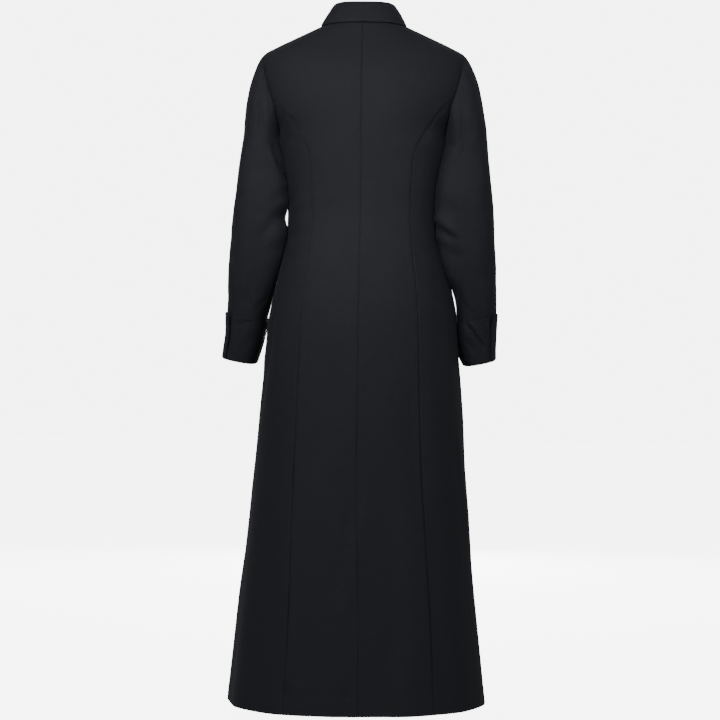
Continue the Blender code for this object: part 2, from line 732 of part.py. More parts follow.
def buildButtons():
    # Turned discs with a raised rim, each on the outer front along its own normal
    profile = ((0.85, 0.0), (1.0, 0.45), (0.90, 1.0), (0.66, 0.72))
    around = np.linspace(0, 2 * np.pi, buttonSides, endpoint=False)
    rows = mainPanel("front")[1][:, 1]
    edge = bodyPoint(-np.pi, rows) + lapLift * bodyNormal(-np.pi, rows)
    for number in range(buttonCount):
        level = buttonTop - number * buttonStep
        under = level + buttonRadius * np.linspace(-1, 1, 9)
        touch = np.stack([np.interp(-under, -edge[:, 2], edge[:, i]) for i in range(3)], axis=-1)
        normal = bodyNormal(np.array([-np.pi]), np.array([level]))[0]
        proud = np.max((touch - touch[4]) @ normal)
        seat = touch[4] + (proud + seamGap) * normal
        across = unit(np.cross(normal, [0, 0, 1.0]))
        upwards = np.cross(across, normal)
        rings = []
        for radius, height in profile:
            turned = np.cos(around)[:, None] * across + np.sin(around)[:, None] * upwards
            rings.append(seat + radius * buttonRadius * turned + height * buttonThick * normal)
        numbers = np.arange(len(rings) * buttonSides).reshape(len(rings), buttonSides)
        faces = quads(np.hstack([numbers, numbers[:, :1]]))
        faces += [numbers[0].tolist(), numbers[-1].tolist()]
        material = plainMaterial(f"button_{number + 1}", (0.014, 0.014, 0.016), 0.35)
        addObject(f"button_{number + 1}", np.concatenate(rings), faces, material)


for thing in list(bpy.data.objects):
    bpy.data.objects.remove(thing)
seamAtNeck = buildCollar()
buildSide("left", 1, seamAtNeck)
buildSide("right", -1, seamAtNeck)
buildButtons()
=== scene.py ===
# Clergy robe, worn and hollow: cloth shells with folds, seams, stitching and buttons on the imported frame
# Metres, +Z up. The back faces +Y and the wearer's left is +X
import bpy
import bmesh
import numpy as np
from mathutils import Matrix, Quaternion, Vector


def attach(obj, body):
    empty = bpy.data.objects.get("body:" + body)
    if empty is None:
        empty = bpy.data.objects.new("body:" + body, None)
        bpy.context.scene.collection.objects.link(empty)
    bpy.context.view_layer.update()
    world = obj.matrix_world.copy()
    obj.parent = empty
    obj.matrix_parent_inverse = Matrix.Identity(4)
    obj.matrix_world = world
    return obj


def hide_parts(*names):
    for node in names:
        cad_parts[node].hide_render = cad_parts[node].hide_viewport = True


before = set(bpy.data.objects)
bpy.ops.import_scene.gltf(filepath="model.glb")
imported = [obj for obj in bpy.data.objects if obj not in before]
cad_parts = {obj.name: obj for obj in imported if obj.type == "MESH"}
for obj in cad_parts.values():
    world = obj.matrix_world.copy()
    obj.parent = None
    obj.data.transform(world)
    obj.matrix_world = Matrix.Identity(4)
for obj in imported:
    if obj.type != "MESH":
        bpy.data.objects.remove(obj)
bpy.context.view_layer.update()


# Small helpers

def table(columns, rows):
    # One array for each named column
    return dict(zip(columns, np.array(rows, dtype=float).T))


def hermite(start, startWay, end, endWay, t):
    # Leaves the start one way and comes to the end another way
    return (start * (2 * t**3 - 3 * t**2 + 1) + startWay * (t**3 - 2 * t**2 + t)
            + end * (3 * t**2 - 2 * t**3) + endWay * (t**3 - t**2))


def through(knots, values, at):
    # Smooth curve through the knots, each slope taken from the knots beside it
    order = np.argsort(knots)
    knots, values = np.asarray(knots, float)[order], np.asarray(values, float)[order]
    slopes = np.gradient(values, knots)
    i = np.clip(np.searchsorted(knots, at, side="right") - 1, 0, len(knots) - 2)
    span = knots[i + 1] - knots[i]
    t = np.clip((at - knots[i]) / span, 0, 1)
    return hermite(values[i], slopes[i] * span, values[i + 1], slopes[i + 1] * span, t)


def read(rows, word, at):
    # A table's named column as a smooth curve over its first column
    return through(next(iter(rows.values())), rows[word], at)


def unit(vectors):
    # The same ways with a length of 1
    return vectors / np.maximum(np.linalg.norm(vectors, axis=-1, keepdims=True), 1e-12)


def ramp(value):
    # Eases from 0 to 1
    t = np.clip(value, 0, 1)
    return t * t * (3 - 2 * t)


def eased(value, start, reach):
    # Eases from 0 at a start to 1 a reach further on
    return ramp((value - start) / reach)


def hump(value):
    # 1 in the middle, dying away over a few widths
    return np.exp(-np.square(value))


def wrapped(angle):
    # Degrees between -180 and 180
    return np.degrees(np.angle(np.exp(1j * angle)))


def squared(angle, boxiness):
    # How far a slightly squared oval stands outside a true one
    return 1 + boxiness * np.sin(2 * angle) ** 2


def runAlong(points, axis=0):
    # Distance walked along the columns (axis 0) or the rows (axis 1) of a grid
    steps = np.linalg.norm(np.diff(points, axis=axis), axis=-1)
    return np.insert(np.cumsum(steps, axis=axis), 0, 0, axis=axis)


def sampled(at, run, values):
    # Each column of values at distances along a line
    return np.stack([np.interp(at, run, column) for column in values.T], axis=-1)


def shares(length, step, near=(), far=()):
    # Shares from 0 to 1 of a line: set distances from its two ends, and even steps between
    near, far = np.array(near) / length, 1 - np.array(far)[::-1] / length
    first, last = (near[-1] if len(near) else 0.0), (far[0] if len(far) else 1.0)
    count = max(2, int(round((last - first) * length / step)))
    between = np.linspace(first, last, count + 1)
    between = between[(1 if len(near) else 0):(len(between) - 1 if len(far) else len(between))]
    return np.unique(np.concatenate([[0.0], near, between, far, [1.0]]))


# How cloth behaves at a seam and in a fold
cloth = {
    "wall": 0.0014,
    "seamDip": 0.0008, "seamWidth": 0.0011,      # how far the cloth turns in at a seam
    "seamShadeWidth": 0.0010,                         # the width of the shade painted along a seam
    "lip": 0.00035, "lipWidth": 0.0105,          # the side under which both seam allowances lie
    "lipStart": 0.0016, "lipFade": 0.0045,
    "pucker": 0.00016, "puckerLength": 0.0125, "puckerStart": 0.002, "puckerReach": 0.007,
    "puckerVary": (1.7, 41),                     # how much and how often along a seam the waves bunch up
    "besideSeam": (0.0005, 0.0011, 0.0019, 0.0031),
    "grooveWidth": 0.0009,                       # pressed in by edge stitching
    "rowStep": 0.0047, "columnStep": 0.0058,
    "sharp": 62,                                 # degrees past which an edge is shaded sharp
}


def lipProfile(distance):
    # Stands up beside the seam over the width of the allowances under it
    end = 1 - eased(distance, cloth["lipWidth"], cloth["lipFade"])
    return cloth["lip"] * ramp(distance / cloth["lipStart"]) * end


def puckers(distance, along, shift):
    # Small pulls square to a seam: uneven waves along it that die away from it
    bunch, often = cloth["puckerVary"]
    wave = np.sin(2 * np.pi * along / cloth["puckerLength"] + shift + bunch * np.sin(along * often + shift))
    fade = np.exp(-distance / cloth["puckerReach"])
    return cloth["pucker"] * wave * fade * ramp(distance / cloth["puckerStart"])


foldColumns = ("across", "level", "acrossEnd", "levelEnd", "bow", "width", "depth", "ridge")
# Shares of a fold's length and of its width
foldForm = {"fade": 0.3, "early": 0.15, "reach": 0.75, "ridgeAway": 1.7, "ridgeWidth": 1.25}


def folds(rows, across, level, radius):
    # Each fold is a trough along a bowed line with a ridge beside it, and both fade at its ends
    # across is in degrees round the form, and radius turns it into metres
    total = np.zeros(np.broadcast(across, level).shape)
    fade, early = foldForm["fade"], foldForm["early"]
    for row in rows:
        fold = dict(zip(foldColumns, row))
        middle = (fold["across"] + fold["acrossEnd"]) / 2
        x = np.radians(wrapped(np.radians(across - middle)) + middle - fold["across"]) * radius
        y = level - fold["level"]
        endX = np.radians(fold["acrossEnd"] - fold["across"]) * np.mean(radius)
        endY = fold["levelEnd"] - fold["level"]
        length = np.hypot(endX, endY)
        t = (x * endX + y * endY) / length**2
        side = (x * endY - y * endX) / length - fold["bow"] * 4 * t * (1 - t)
        fromRidge = side - foldForm["ridgeAway"] * fold["width"]
        ridge = hump(fromRidge / (foldForm["ridgeWidth"] * fold["width"]))
        shape = fold["ridge"] * ridge - hump(side / fold["width"])
        ends = ramp(t / fade + early) * ramp((1 - t) / fade + early)
        total += fold["depth"] * shape * ends * (np.abs(t - 0.5) < foldForm["reach"])
    return total


# The waves of unevenness: each turns and tilts on from the last and is that much finer
waves = {"count": 6, "turn": 2.399, "tilt": 1.7, "finer": 0.37, "shift": 1.9, "height": 2.4}


def unevenness(places, reach, length, seed, hand=0):
    # Gentle waves of several lengths and directions through space, the same on every run
    seed = seed + hand
    total = 0
    for n in range(waves["count"]):
        turn, tilt = seed + n * waves["turn"], np.sin(seed * 3 + n * waves["tilt"])
        way = np.array([np.cos(turn) * (1 - tilt**2) ** 0.5, np.sin(turn) * (1 - tilt**2) ** 0.5, tilt])
        wave = 2 * np.pi / length * (1 + waves["finer"] * n) * (places @ way)
        total = total + np.sin(wave + waves["shift"] * seed * (n + 1)) / (1 + n)
    return reach * (total / waves["height"])


# Shells: a sheet of cloth between an outer and an inner grid

def edgeRow(grid, side):
    # The edge of a grid and the row beside it; all four run left to right or top to bottom
    picks = {"top": (grid[0], grid[1]), "bottom": (grid[-1], grid[-2]),
             "left": (grid[:, 0], grid[:, 1]), "right": (grid[:, -1], grid[:, -2])}
    return picks[side]


def roundRim(outer, inner, side):
    # Half circle from the outer edge round to the inner one
    near, inside = edgeRow(outer, side)
    far = edgeRow(inner, side)[0]
    middle, half = (near + far) / 2, (near - far) / 2
    away = near - inside
    away = unit(away - half * np.sum(away * half, -1, keepdims=True) / np.sum(half * half, -1, keepdims=True))
    radius = np.linalg.norm(half, axis=-1, keepdims=True)
    return [middle + np.cos(bend) * half + np.sin(bend) * radius * away for bend in np.radians([45, 90, 135])]


def numbered(shape, first=0):
    # The point numbers of a grid
    return first + np.arange(np.prod(shape)).reshape(shape)


def quads(numbers):
    # The four-cornered faces of a grid of point numbers
    corners = numbers[:-1, :-1], numbers[:-1, 1:], numbers[1:, 1:], numbers[1:, :-1]
    return np.stack(corners, -1).reshape(-1, 4)


def newObject(name, data):
    # An object in the scene's collection
    made = bpy.data.objects.new(name, data)
    bpy.context.scene.collection.objects.link(made)
    return made


def makeMesh(name, points, faces, material, uv=None, values=None):
    # Puts the arrays into a mesh with its faces outwards, a cloth map in metres and named values
    mesh = bpy.data.meshes.new(name)
    mesh.from_pydata(points, [], [face.tolist() if hasattr(face, "tolist") else face for face in faces])
    tidy = bmesh.new()
    tidy.from_mesh(mesh)
    bmesh.ops.recalc_face_normals(tidy, faces=tidy.faces)
    tidy.to_mesh(mesh)
    tidy.free()
    corner = np.empty(len(mesh.loops), dtype=np.int32)
    mesh.loops.foreach_get("vertex_index", corner)
    if uv is not None:
        layer = mesh.uv_layers.new(name="clothMap")
        layer.data.foreach_set("uv", uv[corner].astype(np.float32).ravel())
    for word, numbers in (values or {}).items():
        attribute = mesh.attributes.new(word, "FLOAT", "POINT")
        attribute.data.foreach_set("value", numbers.astype(np.float32).ravel())
    mesh.shade_smooth()
    mesh.set_sharp_from_angle(angle=np.radians(cloth["sharp"]))
    mesh.materials.append(material)
    return newObject(name, mesh)


def makeShell(name, outer, inner, material, uv, seamShadeMask, edge, rounded=(), ring=False):
    # Closes the two grids with flat rims at seams and round ones at free edges
    near = numbered(outer.shape[:2])
    far = near + near.size
    count = 2 * near.size
    if ring:
        near, far = np.hstack([near, near[:, :1]]), np.hstack([far, far[:, :1]])
    points = [outer.reshape(-1, 3), inner.reshape(-1, 3)]
    maps, seamShadeMasks, edges = [uv.reshape(-1, 2)] * 2, [seamShadeMask.ravel()] * 2, [edge.ravel()] * 2
    faces = [quads(near), quads(far)]
    arcs = {}
    for side in ("top", "bottom") if ring else ("top", "bottom", "left", "right"):
        nearEdge, farEdge = edgeRow(near, side)[0], edgeRow(far, side)[0]
        line = [nearEdge]
        if side in rounded:
            for extra in roundRim(outer, inner, side):
                numbers = numbered(extra.shape[:1], count)
                count += len(extra)
                line.append(np.append(numbers, numbers[:1]) if ring else numbers)
                points.append(extra)
                pick = nearEdge[:len(extra)]
                maps.append(maps[0][pick])
                seamShadeMasks.append(seamShadeMasks[0][pick])
                edges.append(np.ones(len(extra)))
        line.append(farEdge)
        line = np.array(line)
        arcs[side] = line
        faces.append(quads(line))
    if not ring:
        for across, down, i, j in (("left", "top", 0, 0), ("right", "top", 0, -1),
                                   ("left", "bottom", -1, 0), ("right", "bottom", -1, -1)):
            corner = list(arcs[across][:, i]) + list(arcs[down][1:-1, j][::-1])
            if len(corner) > 2:
                faces.append(np.array(corner))
    # The painted seam shade and the rubbed edges go to the material as point values
    values = {"seamShadeMask": np.concatenate(seamShadeMasks), "edge": np.concatenate(edges)}
    everyFace = [face for part in faces for face in (part if part.ndim == 2 else [part])]
    return makeMesh(name, np.concatenate(points), everyFace, material, np.concatenate(maps), values)


def turnIn(outer, inner, where, points, way):
    # At a seam both faces of the cloth turn in along one way through the wall
    outer[where] = points + cloth["seamDip"] * way
    inner[where] = points + (cloth["seamDip"] + cloth["wall"]) * way


def dress(piece, node):
    # Every piece rides on the one body, and stands for its CAD node where it has one
    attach(piece, "root")
    if node:
        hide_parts(node)


def sew(name, node, outer, inner, uv, seamShadeMask, edge, rounded=(), ring=False):
    # One piece of the robe's cloth: its shell, which rides on the body and stands for its node
    made = makeShell(name, outer, inner, blackTwill, uv, seamShadeMask, edge, rounded, ring)
    dress(made, node)


# Materials: node trees from sums of values

class Socket:
    # A node's output; sums and products of it become Math nodes
    def __init__(self, output):
        self.output = output

    def maths(self, operation, *values):
        tree = self.output.id_data
        return addNode(tree, "ShaderNodeMath", {"operation": operation}, dict(enumerate(values)))

    def __add__(self, other):
        return self.maths("ADD", self, other)

    def __sub__(self, other):
        return self.maths("SUBTRACT", self, other)

    def __rsub__(self, other):
        return self.maths("SUBTRACT", other, self)

    def __mul__(self, other):
        return self.maths("MULTIPLY", self, other)

    def wave(self):
        return self.maths("SINE", self)

    __radd__ = __add__
    __rmul__ = __mul__


def fill(node, sockets):
    # Links what is a socket and sets what is a value
    for place, value in sockets.items():
        if isinstance(value, Socket):
            node.id_data.links.new(value.output, node.inputs[place])
        else:
            node.inputs[place].default_value = value


def addNode(tree, kind, settings, sockets, output=0):
    # Settings first, then the values or links of its sockets
    node = tree.nodes.new(kind)
    for word, value in settings.items():
        setattr(node, word, value)
    fill(node, sockets)
    return Socket(node.outputs[output])


def between(tree, factor, first, second):
    # Mixes two colours, which are sockets 6 and 7 of the Mix node
    return addNode(tree, "ShaderNodeMix", {"data_type": "RGBA"}, {0: factor, 6: first, 7: second}, 2)


def noise(tree, where, scale, detail, **more):
    # Noise texture between 0 and 1
    return addNode(tree, "ShaderNodeTexNoise", {}, {
        "Vector": where, "Scale": scale, "Detail": detail, **more})


def relief(tree, strength, distance, height, **more):
    # Normal tilted by the slopes of a height
    return addNode(tree, "ShaderNodeBump", {}, {
        "Strength": strength, "Distance": distance, "Height": height, **more})


def rgb(red, green, blue):
    return (red, green, blue, 1.0)


def newMaterial(name):
    # A material with its node tree and its shader
    material = bpy.data.materials.new(name)
    material.use_nodes = True
    return material, material.node_tree, material.node_tree.nodes["Principled BSDF"]


def objectPlace(tree):
    # Object coordinates
    return addNode(tree, "ShaderNodeTexCoord", {}, {}, 3)


twill = {
    "name": "blackTwill",
    "deep": rgb(0.0094, 0.0100, 0.0134), "light": rgb(0.0147, 0.0157, 0.0206),
    # seamShade is painted shade for the seams' grooves, laid on where the seam mask is high
    "seamShade": rgb(0.0040, 0.0042, 0.0056), "seamShadeShare": 0.55,
    "worn": rgb(0.0190, 0.0200, 0.0250), "wornShare": 0.6,
    "ribPitch": 0.00062, "ribSlope": 1.25, "yarnPitch": 0.00036, "yarnSlope": 0.9, "yarnShare": 0.22,
    "slubStretch": (900.0, 60.0, 1.0), "slub": (1.0, 2.0),
    # scale, detail and roughness of three noises
    "cloud": (7.0, 3.0, 0.55), "mottle": (95.0, 4.0, 0.65), "crumple": (34.0, 3.0, 0.5),
    # strength and distance of the bumps
    "softRelief": (0.35, 0.0009), "weaveRelief": (0.45, 0.00009),
    "toneShares": {"cloud": 0.45, "mottle": 0.35, "slub": 0.2, "weave": 0.16},
    "roughness": 0.74, "roughMottle": 0.16, "roughEdge": 0.06, "roughCloud": 0.08,
    "specular": 0.26, "sheen": 0.05, "sheenRoughness": 0.42, "sheenTint": rgb(0.72, 0.80, 1.0),
}


def makeTwill():
    # Diagonal ribs of yarn, soft mottling from pressing, shade painted along the seams and slightly rubbed
    # edges
    material, tree, shader = newMaterial(twill["name"])
    where = addNode(tree, "ShaderNodeUVMap", {"uv_map": "clothMap"}, {})
    across, down = (addNode(tree, "ShaderNodeSeparateXYZ", {}, {0: where}, axis) for axis in (0, 1))
    seamShadeMask, edge = (addNode(tree, "ShaderNodeAttribute", {"attribute_name": word}, {}, 2)
                  for word in ("seamShadeMask", "edge"))
    spot = objectPlace(tree)

    ribs = ((across + down * twill["ribSlope"]) * (2 * np.pi / twill["ribPitch"])).wave()
    yarns = ((across * twill["yarnSlope"] - down) * (2 * np.pi / twill["yarnPitch"])).wave()
    weave = (ribs * 0.5 + 0.5) * (yarns * twill["yarnShare"] + (1 - twill["yarnShare"]))
    cloud, mottle, crumple = (
        noise(tree, spot, scale, detail, Roughness=rough)
        for scale, detail, rough in (twill["cloud"], twill["mottle"], twill["crumple"]))
    stretched = addNode(tree, "ShaderNodeMapping", {}, {"Vector": where, "Scale": twill["slubStretch"]})
    slub = noise(tree, stretched, *twill["slub"])

    share = twill["toneShares"]
    tone = cloud * share["cloud"] + mottle * share["mottle"] + slub * share["slub"] + weave * share["weave"]
    colour = between(tree, tone - share["weave"] / 2, twill["deep"], twill["light"])
    colour = between(tree, edge * (mottle * twill["wornShare"]), colour, twill["worn"])
    # Painted shade: the seams' grooves are darkened in the colour itself
    colour = between(tree, seamShadeMask * twill["seamShadeShare"], colour, twill["seamShade"])
    rough = twill["roughness"] + (mottle - 0.5) * twill["roughMottle"]
    rough = rough - edge * twill["roughEdge"] + (cloud - 0.5) * twill["roughCloud"]
    soft = relief(tree, *twill["softRelief"], crumple)
    fill(shader, {
        "Base Color": colour, "Roughness": rough,
        "Normal": relief(tree, *twill["weaveRelief"], weave + slub * 0.5, Normal=soft),
        "Specular IOR Level": twill["specular"], "Sheen Weight": twill["sheen"],
        "Sheen Roughness": twill["sheenRoughness"], "Sheen Tint": twill["sheenTint"]})
    return material


thread = {"name": "blackThread", "deep": rgb(0.008, 0.008, 0.010), "light": rgb(0.026, 0.027, 0.031),
          "twist": (900.0, 2.0), "relief": (0.4, 0.00008), "roughness": 0.52, "vary": 0.2, "specular": 0.35}


def makeThread():
    # Two-ply sewing thread with a low shine
    material, tree, shader = newMaterial(thread["name"])
    fibre = noise(tree, objectPlace(tree), *thread["twist"])
    fill(shader, {
        "Base Color": between(tree, fibre, thread["deep"], thread["light"]),
        "Roughness": fibre * thread["vary"] + (thread["roughness"] - thread["vary"] / 2),
        "Normal": relief(tree, *thread["relief"], fibre), "Specular IOR Level": thread["specular"]})
    return material


moulded = {"name": "mouldedButton", "deep": rgb(0.0085, 0.0085, 0.0100), "light": rgb(0.0190, 0.0190, 0.0210),
           "marble": (160.0, 4.0), "marbleTwist": 1.4, "fine": (1400.0, 3.0), "relief": (0.12, 0.00005),
           "polish": 0.24, "scuff": 0.30, "coat": 0.15, "coatRoughness": 0.2}


def makeMoulded():
    # Moulded black plastic with faint marbling, a polished rim and fine scuffs
    material, tree, shader = newMaterial(moulded["name"])
    spot = objectPlace(tree)
    marble = noise(tree, spot, *moulded["marble"], Distortion=moulded["marbleTwist"])
    scuff = noise(tree, spot, *moulded["fine"])
    fill(shader, {
        "Base Color": between(tree, marble, moulded["deep"], moulded["light"]),
        "Roughness": scuff * moulded["scuff"] + moulded["polish"],
        "Normal": relief(tree, *moulded["relief"], scuff),
        "Coat Weight": moulded["coat"], "Coat Roughness": moulded["coatRoughness"]})
    return material


blackTwill, blackThread, mouldedButton = makeTwill(), makeThread(), makeMoulded()
print("materials ready")


# The worn form: level sections of the body, from the middle
body = {
    "sections": table(("level", "half", "back", "front"), (
        (0.000, 0.0700, 0.0600, 0.0120), (-0.016, 0.1045, 0.0660, 0.0270), (-0.033, 0.1410, 0.0730, 0.0430),
        (-0.050, 0.1770, 0.0810, 0.0570), (-0.066, 0.2055, 0.0890, 0.0690), (-0.085, 0.2150, 0.0970, 0.0800),
        (-0.110, 0.2170, 0.1050, 0.0910), (-0.140, 0.2140, 0.1110, 0.1020), (-0.170, 0.2060, 0.1130, 0.1110),
        (-0.195, 0.1930, 0.1125, 0.1170), (-0.215, 0.1780, 0.1110, 0.1210), (-0.260, 0.1715, 0.1060, 0.1260),
        (-0.320, 0.1590, 0.0980, 0.1200), (-0.396, 0.1530, 0.0920, 0.1080), (-0.453, 0.1570, 0.1000, 0.1110),
        (-0.510, 0.1695, 0.1150, 0.1180), (-0.597, 0.1880, 0.1290, 0.1260), (-0.655, 0.1925, 0.1345, 0.1315),
        (-0.720, 0.1990, 0.1400, 0.1370), (-0.935, 0.2160, 0.1580, 0.1570), (-1.181, 0.2378, 0.1820, 0.1820),
        (-1.384, 0.2580, 0.2040, 0.2040))),
    "boxiness": 0.06, "hem": -1.384, "quarterSteps": 2881, "neckSteps": 800, "armholeSteps": 400,
    # reach, distance from the middle, level and spread
    "bust": (0.012, 0.085, -0.262, 0.050), "blade": (0.004, 0.085, -0.130, 0.055),
    # degrees round, spread in degrees, reach, and the level where it starts
    "flutes": ((-167, 11, 0.0050, -0.62), (-139, 12, 0.0065, -0.55), (-108, 11, 0.0050, -0.70),
               (-78, 13, 0.0060, -0.60), (-49, 10, 0.0050, -0.75), (-24, 10, 0.0060, -0.66),
               (7, 11, 0.0045, -0.72), (33, 12, 0.0065, -0.60), (62, 11, 0.0050, -0.70),
               (90, 12, 0.0060, -0.62), (121, 12, 0.0055, -0.66), (151, 11, 0.0060, -0.58)),
    "neckHalf": 0.070, "neckDrop": 0.074, "neckBow": 1.15,
    "lapReach": 0.015, "lapLift": 0.0021, "lapFlat": 0.002, "lapFade": 0.018,
    "chest": -0.260, "hip": -0.580,
}
# Armholes: degrees from the side towards the back and the front, above and below the princess seam
armhole = {
    "back": {
        "upper": table(("level", "away"), (
            (-0.066, 0.0), (-0.069, 13.0), (-0.080, 23.5), (-0.095, 27.0), (-0.111, 29.2),
            (-0.142, 32.0), (-0.158, 33.5))),
        "lower": table(("level", "away"), (
            (-0.158, 33.5), (-0.174, 33.6), (-0.191, 31.0), (-0.207, 23.5), (-0.213, 13.0), (-0.215, 0.0)))},
    "front": {
        "upper": table(("level", "away"), (
            (-0.066, 0.0), (-0.069, 13.0), (-0.080, 23.5), (-0.109, 29.0), (-0.137, 32.0),
            (-0.165, 34.5), (-0.192, 40.0))),
        "lower": table(("level", "away"), ((-0.192, 40.0), (-0.206, 29.5), (-0.213, 16.0), (-0.215, 0.0)))},
}
# Princess seams: how far they lie from the middle, and the share of the panel's height beside the armhole
princess = {
    "back": table(("level", "side"), (
        (-0.178, 0.1645), (-0.202, 0.1478), (-0.232, 0.1268), (-0.268, 0.1080), (-0.325, 0.1015),
        (-0.394, 0.0995), (-0.570, 0.1160), (-0.815, 0.1240), (-1.068, 0.1360), (-1.384, 0.1510))),
    "front": table(("level", "side"), (
        (-0.202, 0.1400), (-0.228, 0.1140), (-0.260, 0.0960), (-0.325, 0.0830), (-0.394, 0.0780),
        (-0.570, 0.0960), (-0.815, 0.1120), (-1.068, 0.1300), (-1.384, 0.1480))),
    "armholeShare": {"back": 0.56, "front": 0.70},
}


def sectionAt(level):
    # How far the body's section reaches to the side, the back and the front
    return (read(body["sections"], word, level) for word in ("half", "back", "front"))


def bodyPoint(angle, level):
    # A slightly squared oval at each level; angle 0 is the centre back and 90 degrees the left side
    angle, level = np.broadcast_arrays(angle, level)
    half, back, front = sectionAt(level)
    full = squared(angle, body["boxiness"])
    x = half * np.sin(angle) * full
    y = np.where(np.cos(angle) >= 0, back, front) * np.cos(angle) * full
    for word, sign in (("bust", -1), ("blade", 1)):
        reach, side, height, spread = body[word]
        bump = np.exp(-((abs(x) - side) ** 2 + (level - height) ** 2) / spread**2)
        y = y + sign * reach * bump * np.clip(sign * np.cos(angle), 0, 1)
    out = np.zeros(x.shape)
    for degrees, spread, reach, start in body["flutes"]:
        away = wrapped(angle - np.radians(degrees))
        out = out + reach * np.exp(-(away / spread) ** 2) * ramp((start - level) / (start - body["hem"]))
    return np.stack([x + out * np.sin(angle), y + out * np.cos(angle), level + 0 * x], axis=-1)


def bodyNormal(angle, level):
    # Square to a small step round the body and a small step down it
    step = 1e-4
    across = bodyPoint(angle + step, level) - bodyPoint(angle - step, level)
    down = bodyPoint(angle, level - step) - bodyPoint(angle, level + step)
    return unit(np.cross(across, down))


def angleAt(side, level, front=False):
    # The angle at which a section lies this far from the middle
    quarter = np.linspace(0, np.pi / 2, body["quarterSteps"])
    share = side / read(body["sections"], "half", level)
    full = np.sin(quarter) * squared(quarter, body["boxiness"])
    angle = np.sign(share) * np.interp(abs(share), full, quarter)
    return np.pi - angle if front else angle


def sideOf(angle, level):
    # How far a point of the body lies from the middle, the left positive
    return bodyPoint(angle, level)[..., 0]


def placed(angle, level, at):
    # The places at these shares of a line's length on the body
    run = runAlong(bodyPoint(angle, level))
    return np.interp(at * run[-1], run, angle), np.interp(at * run[-1], run, level)


def armholeLine(part, column, at):
    # From the side's angle towards the back or the front
    hole = armhole[column][part]
    away = np.radians(hole["away"])
    run = np.append(0, np.cumsum(np.hypot(np.diff(away) * body["neckHalf"] * 2, np.diff(hole["level"]))))
    fine = np.linspace(0, run[-1], body["armholeSteps"])
    turn = through(run, away, fine)
    angle = np.pi / 2 - turn if column == "back" else np.pi / 2 + turn
    return placed(angle, through(run, hole["level"], fine), at)


def princessLine(column, start, levels):
    # Starts where the armhole's upper part ends
    knots = np.append(start[1], princess[column]["level"])
    sides = np.append(sideOf(*start), princess[column]["side"])
    angle = angleAt(through(knots, sides, levels), levels, column == "front")
    angle[0] = start[0]
    return angle


def neckLevel(side):
    # The front neckline drops as a quarter of an oval, a little drawn in
    oval = np.sqrt(np.clip(1 - (side / body["neckHalf"]) ** 2, 0, 1))
    return -body["neckDrop"] * oval ** body["neckBow"]


def neckLine(front, at):
    # The neckline from the middle, or from the lap's edge, to the shoulder's neck point
    if not front:
        fine = np.linspace(0, np.pi / 2, body["neckSteps"])
        return placed(fine, 0 * fine, at)
    turn = np.linspace(np.arcsin(body["lapReach"] / body["neckHalf"]), np.pi / 2, body["neckSteps"])
    side = body["neckHalf"] * np.sin(turn)
    return placed(angleAt(side, neckLevel(side), True), neckLevel(side), at)


def shoulderLine(at):
    # Down the side from the neck point to the armhole's top
    return np.full(len(at), np.pi / 2), armhole["back"]["upper"]["level"][0] * at


# Lines that neighbouring pieces share, so that their seams meet point for point: lengths, rows and shares
lines = {"neck": 0.105, "shoulder": 0.150, "upperArmhole": 0.165, "lowerArmhole": 0.092,
         "underRows": 21, "waistRows": 66, "besideNotch": (0.003,), "besideHem": (0.0012, 0.0030),
         "neckShare": 6 / 11, "rowSpread": 1.5, "lapColumns": 9}
besideSeam = cloth["besideSeam"]
neckAt = shares(lines["neck"], cloth["columnStep"], near=besideSeam)
shoulderAt = shares(lines["shoulder"], cloth["columnStep"], far=besideSeam)
upperAt = shares(lines["upperArmhole"], cloth["rowStep"], near=besideSeam, far=lines["besideNotch"])
lowerAt = shares(lines["lowerArmhole"], cloth["columnStep"], near=besideSeam, far=besideSeam)
upperSeam = np.linspace(0, 1, lines["underRows"])[1:]
skirtLength = body["hip"] - body["hem"]
lowLevels = np.append(
    np.linspace(body["chest"], body["hip"], lines["waistRows"]),
    body["hip"] - skirtLength * shares(skirtLength, cloth["rowStep"], far=lines["besideHem"])[1:])


def fillGrid(top, bottom, left, right, u, v):
    # Each point takes its share of all four sides
    u, v = u[None, :, None], v[:, None, None]
    corners = ((1 - u) * (1 - v) * top[0] + u * (1 - v) * top[-1]
               + (1 - u) * v * bottom[0] + u * v * bottom[-1])
    return (1 - v) * top + v * bottom + (1 - u) * left[:, None] + u * right[:, None] - corners


def pairs(first, second):
    # Two values for each point of a line
    return np.stack([first, second], axis=-1)


def columnShares():
    # The neck's columns take their share of the row, then the shoulder's
    neckShare = lines["neckShare"]
    return np.append(neckAt * neckShare, neckShare + shoulderAt[1:] * (1 - neckShare))


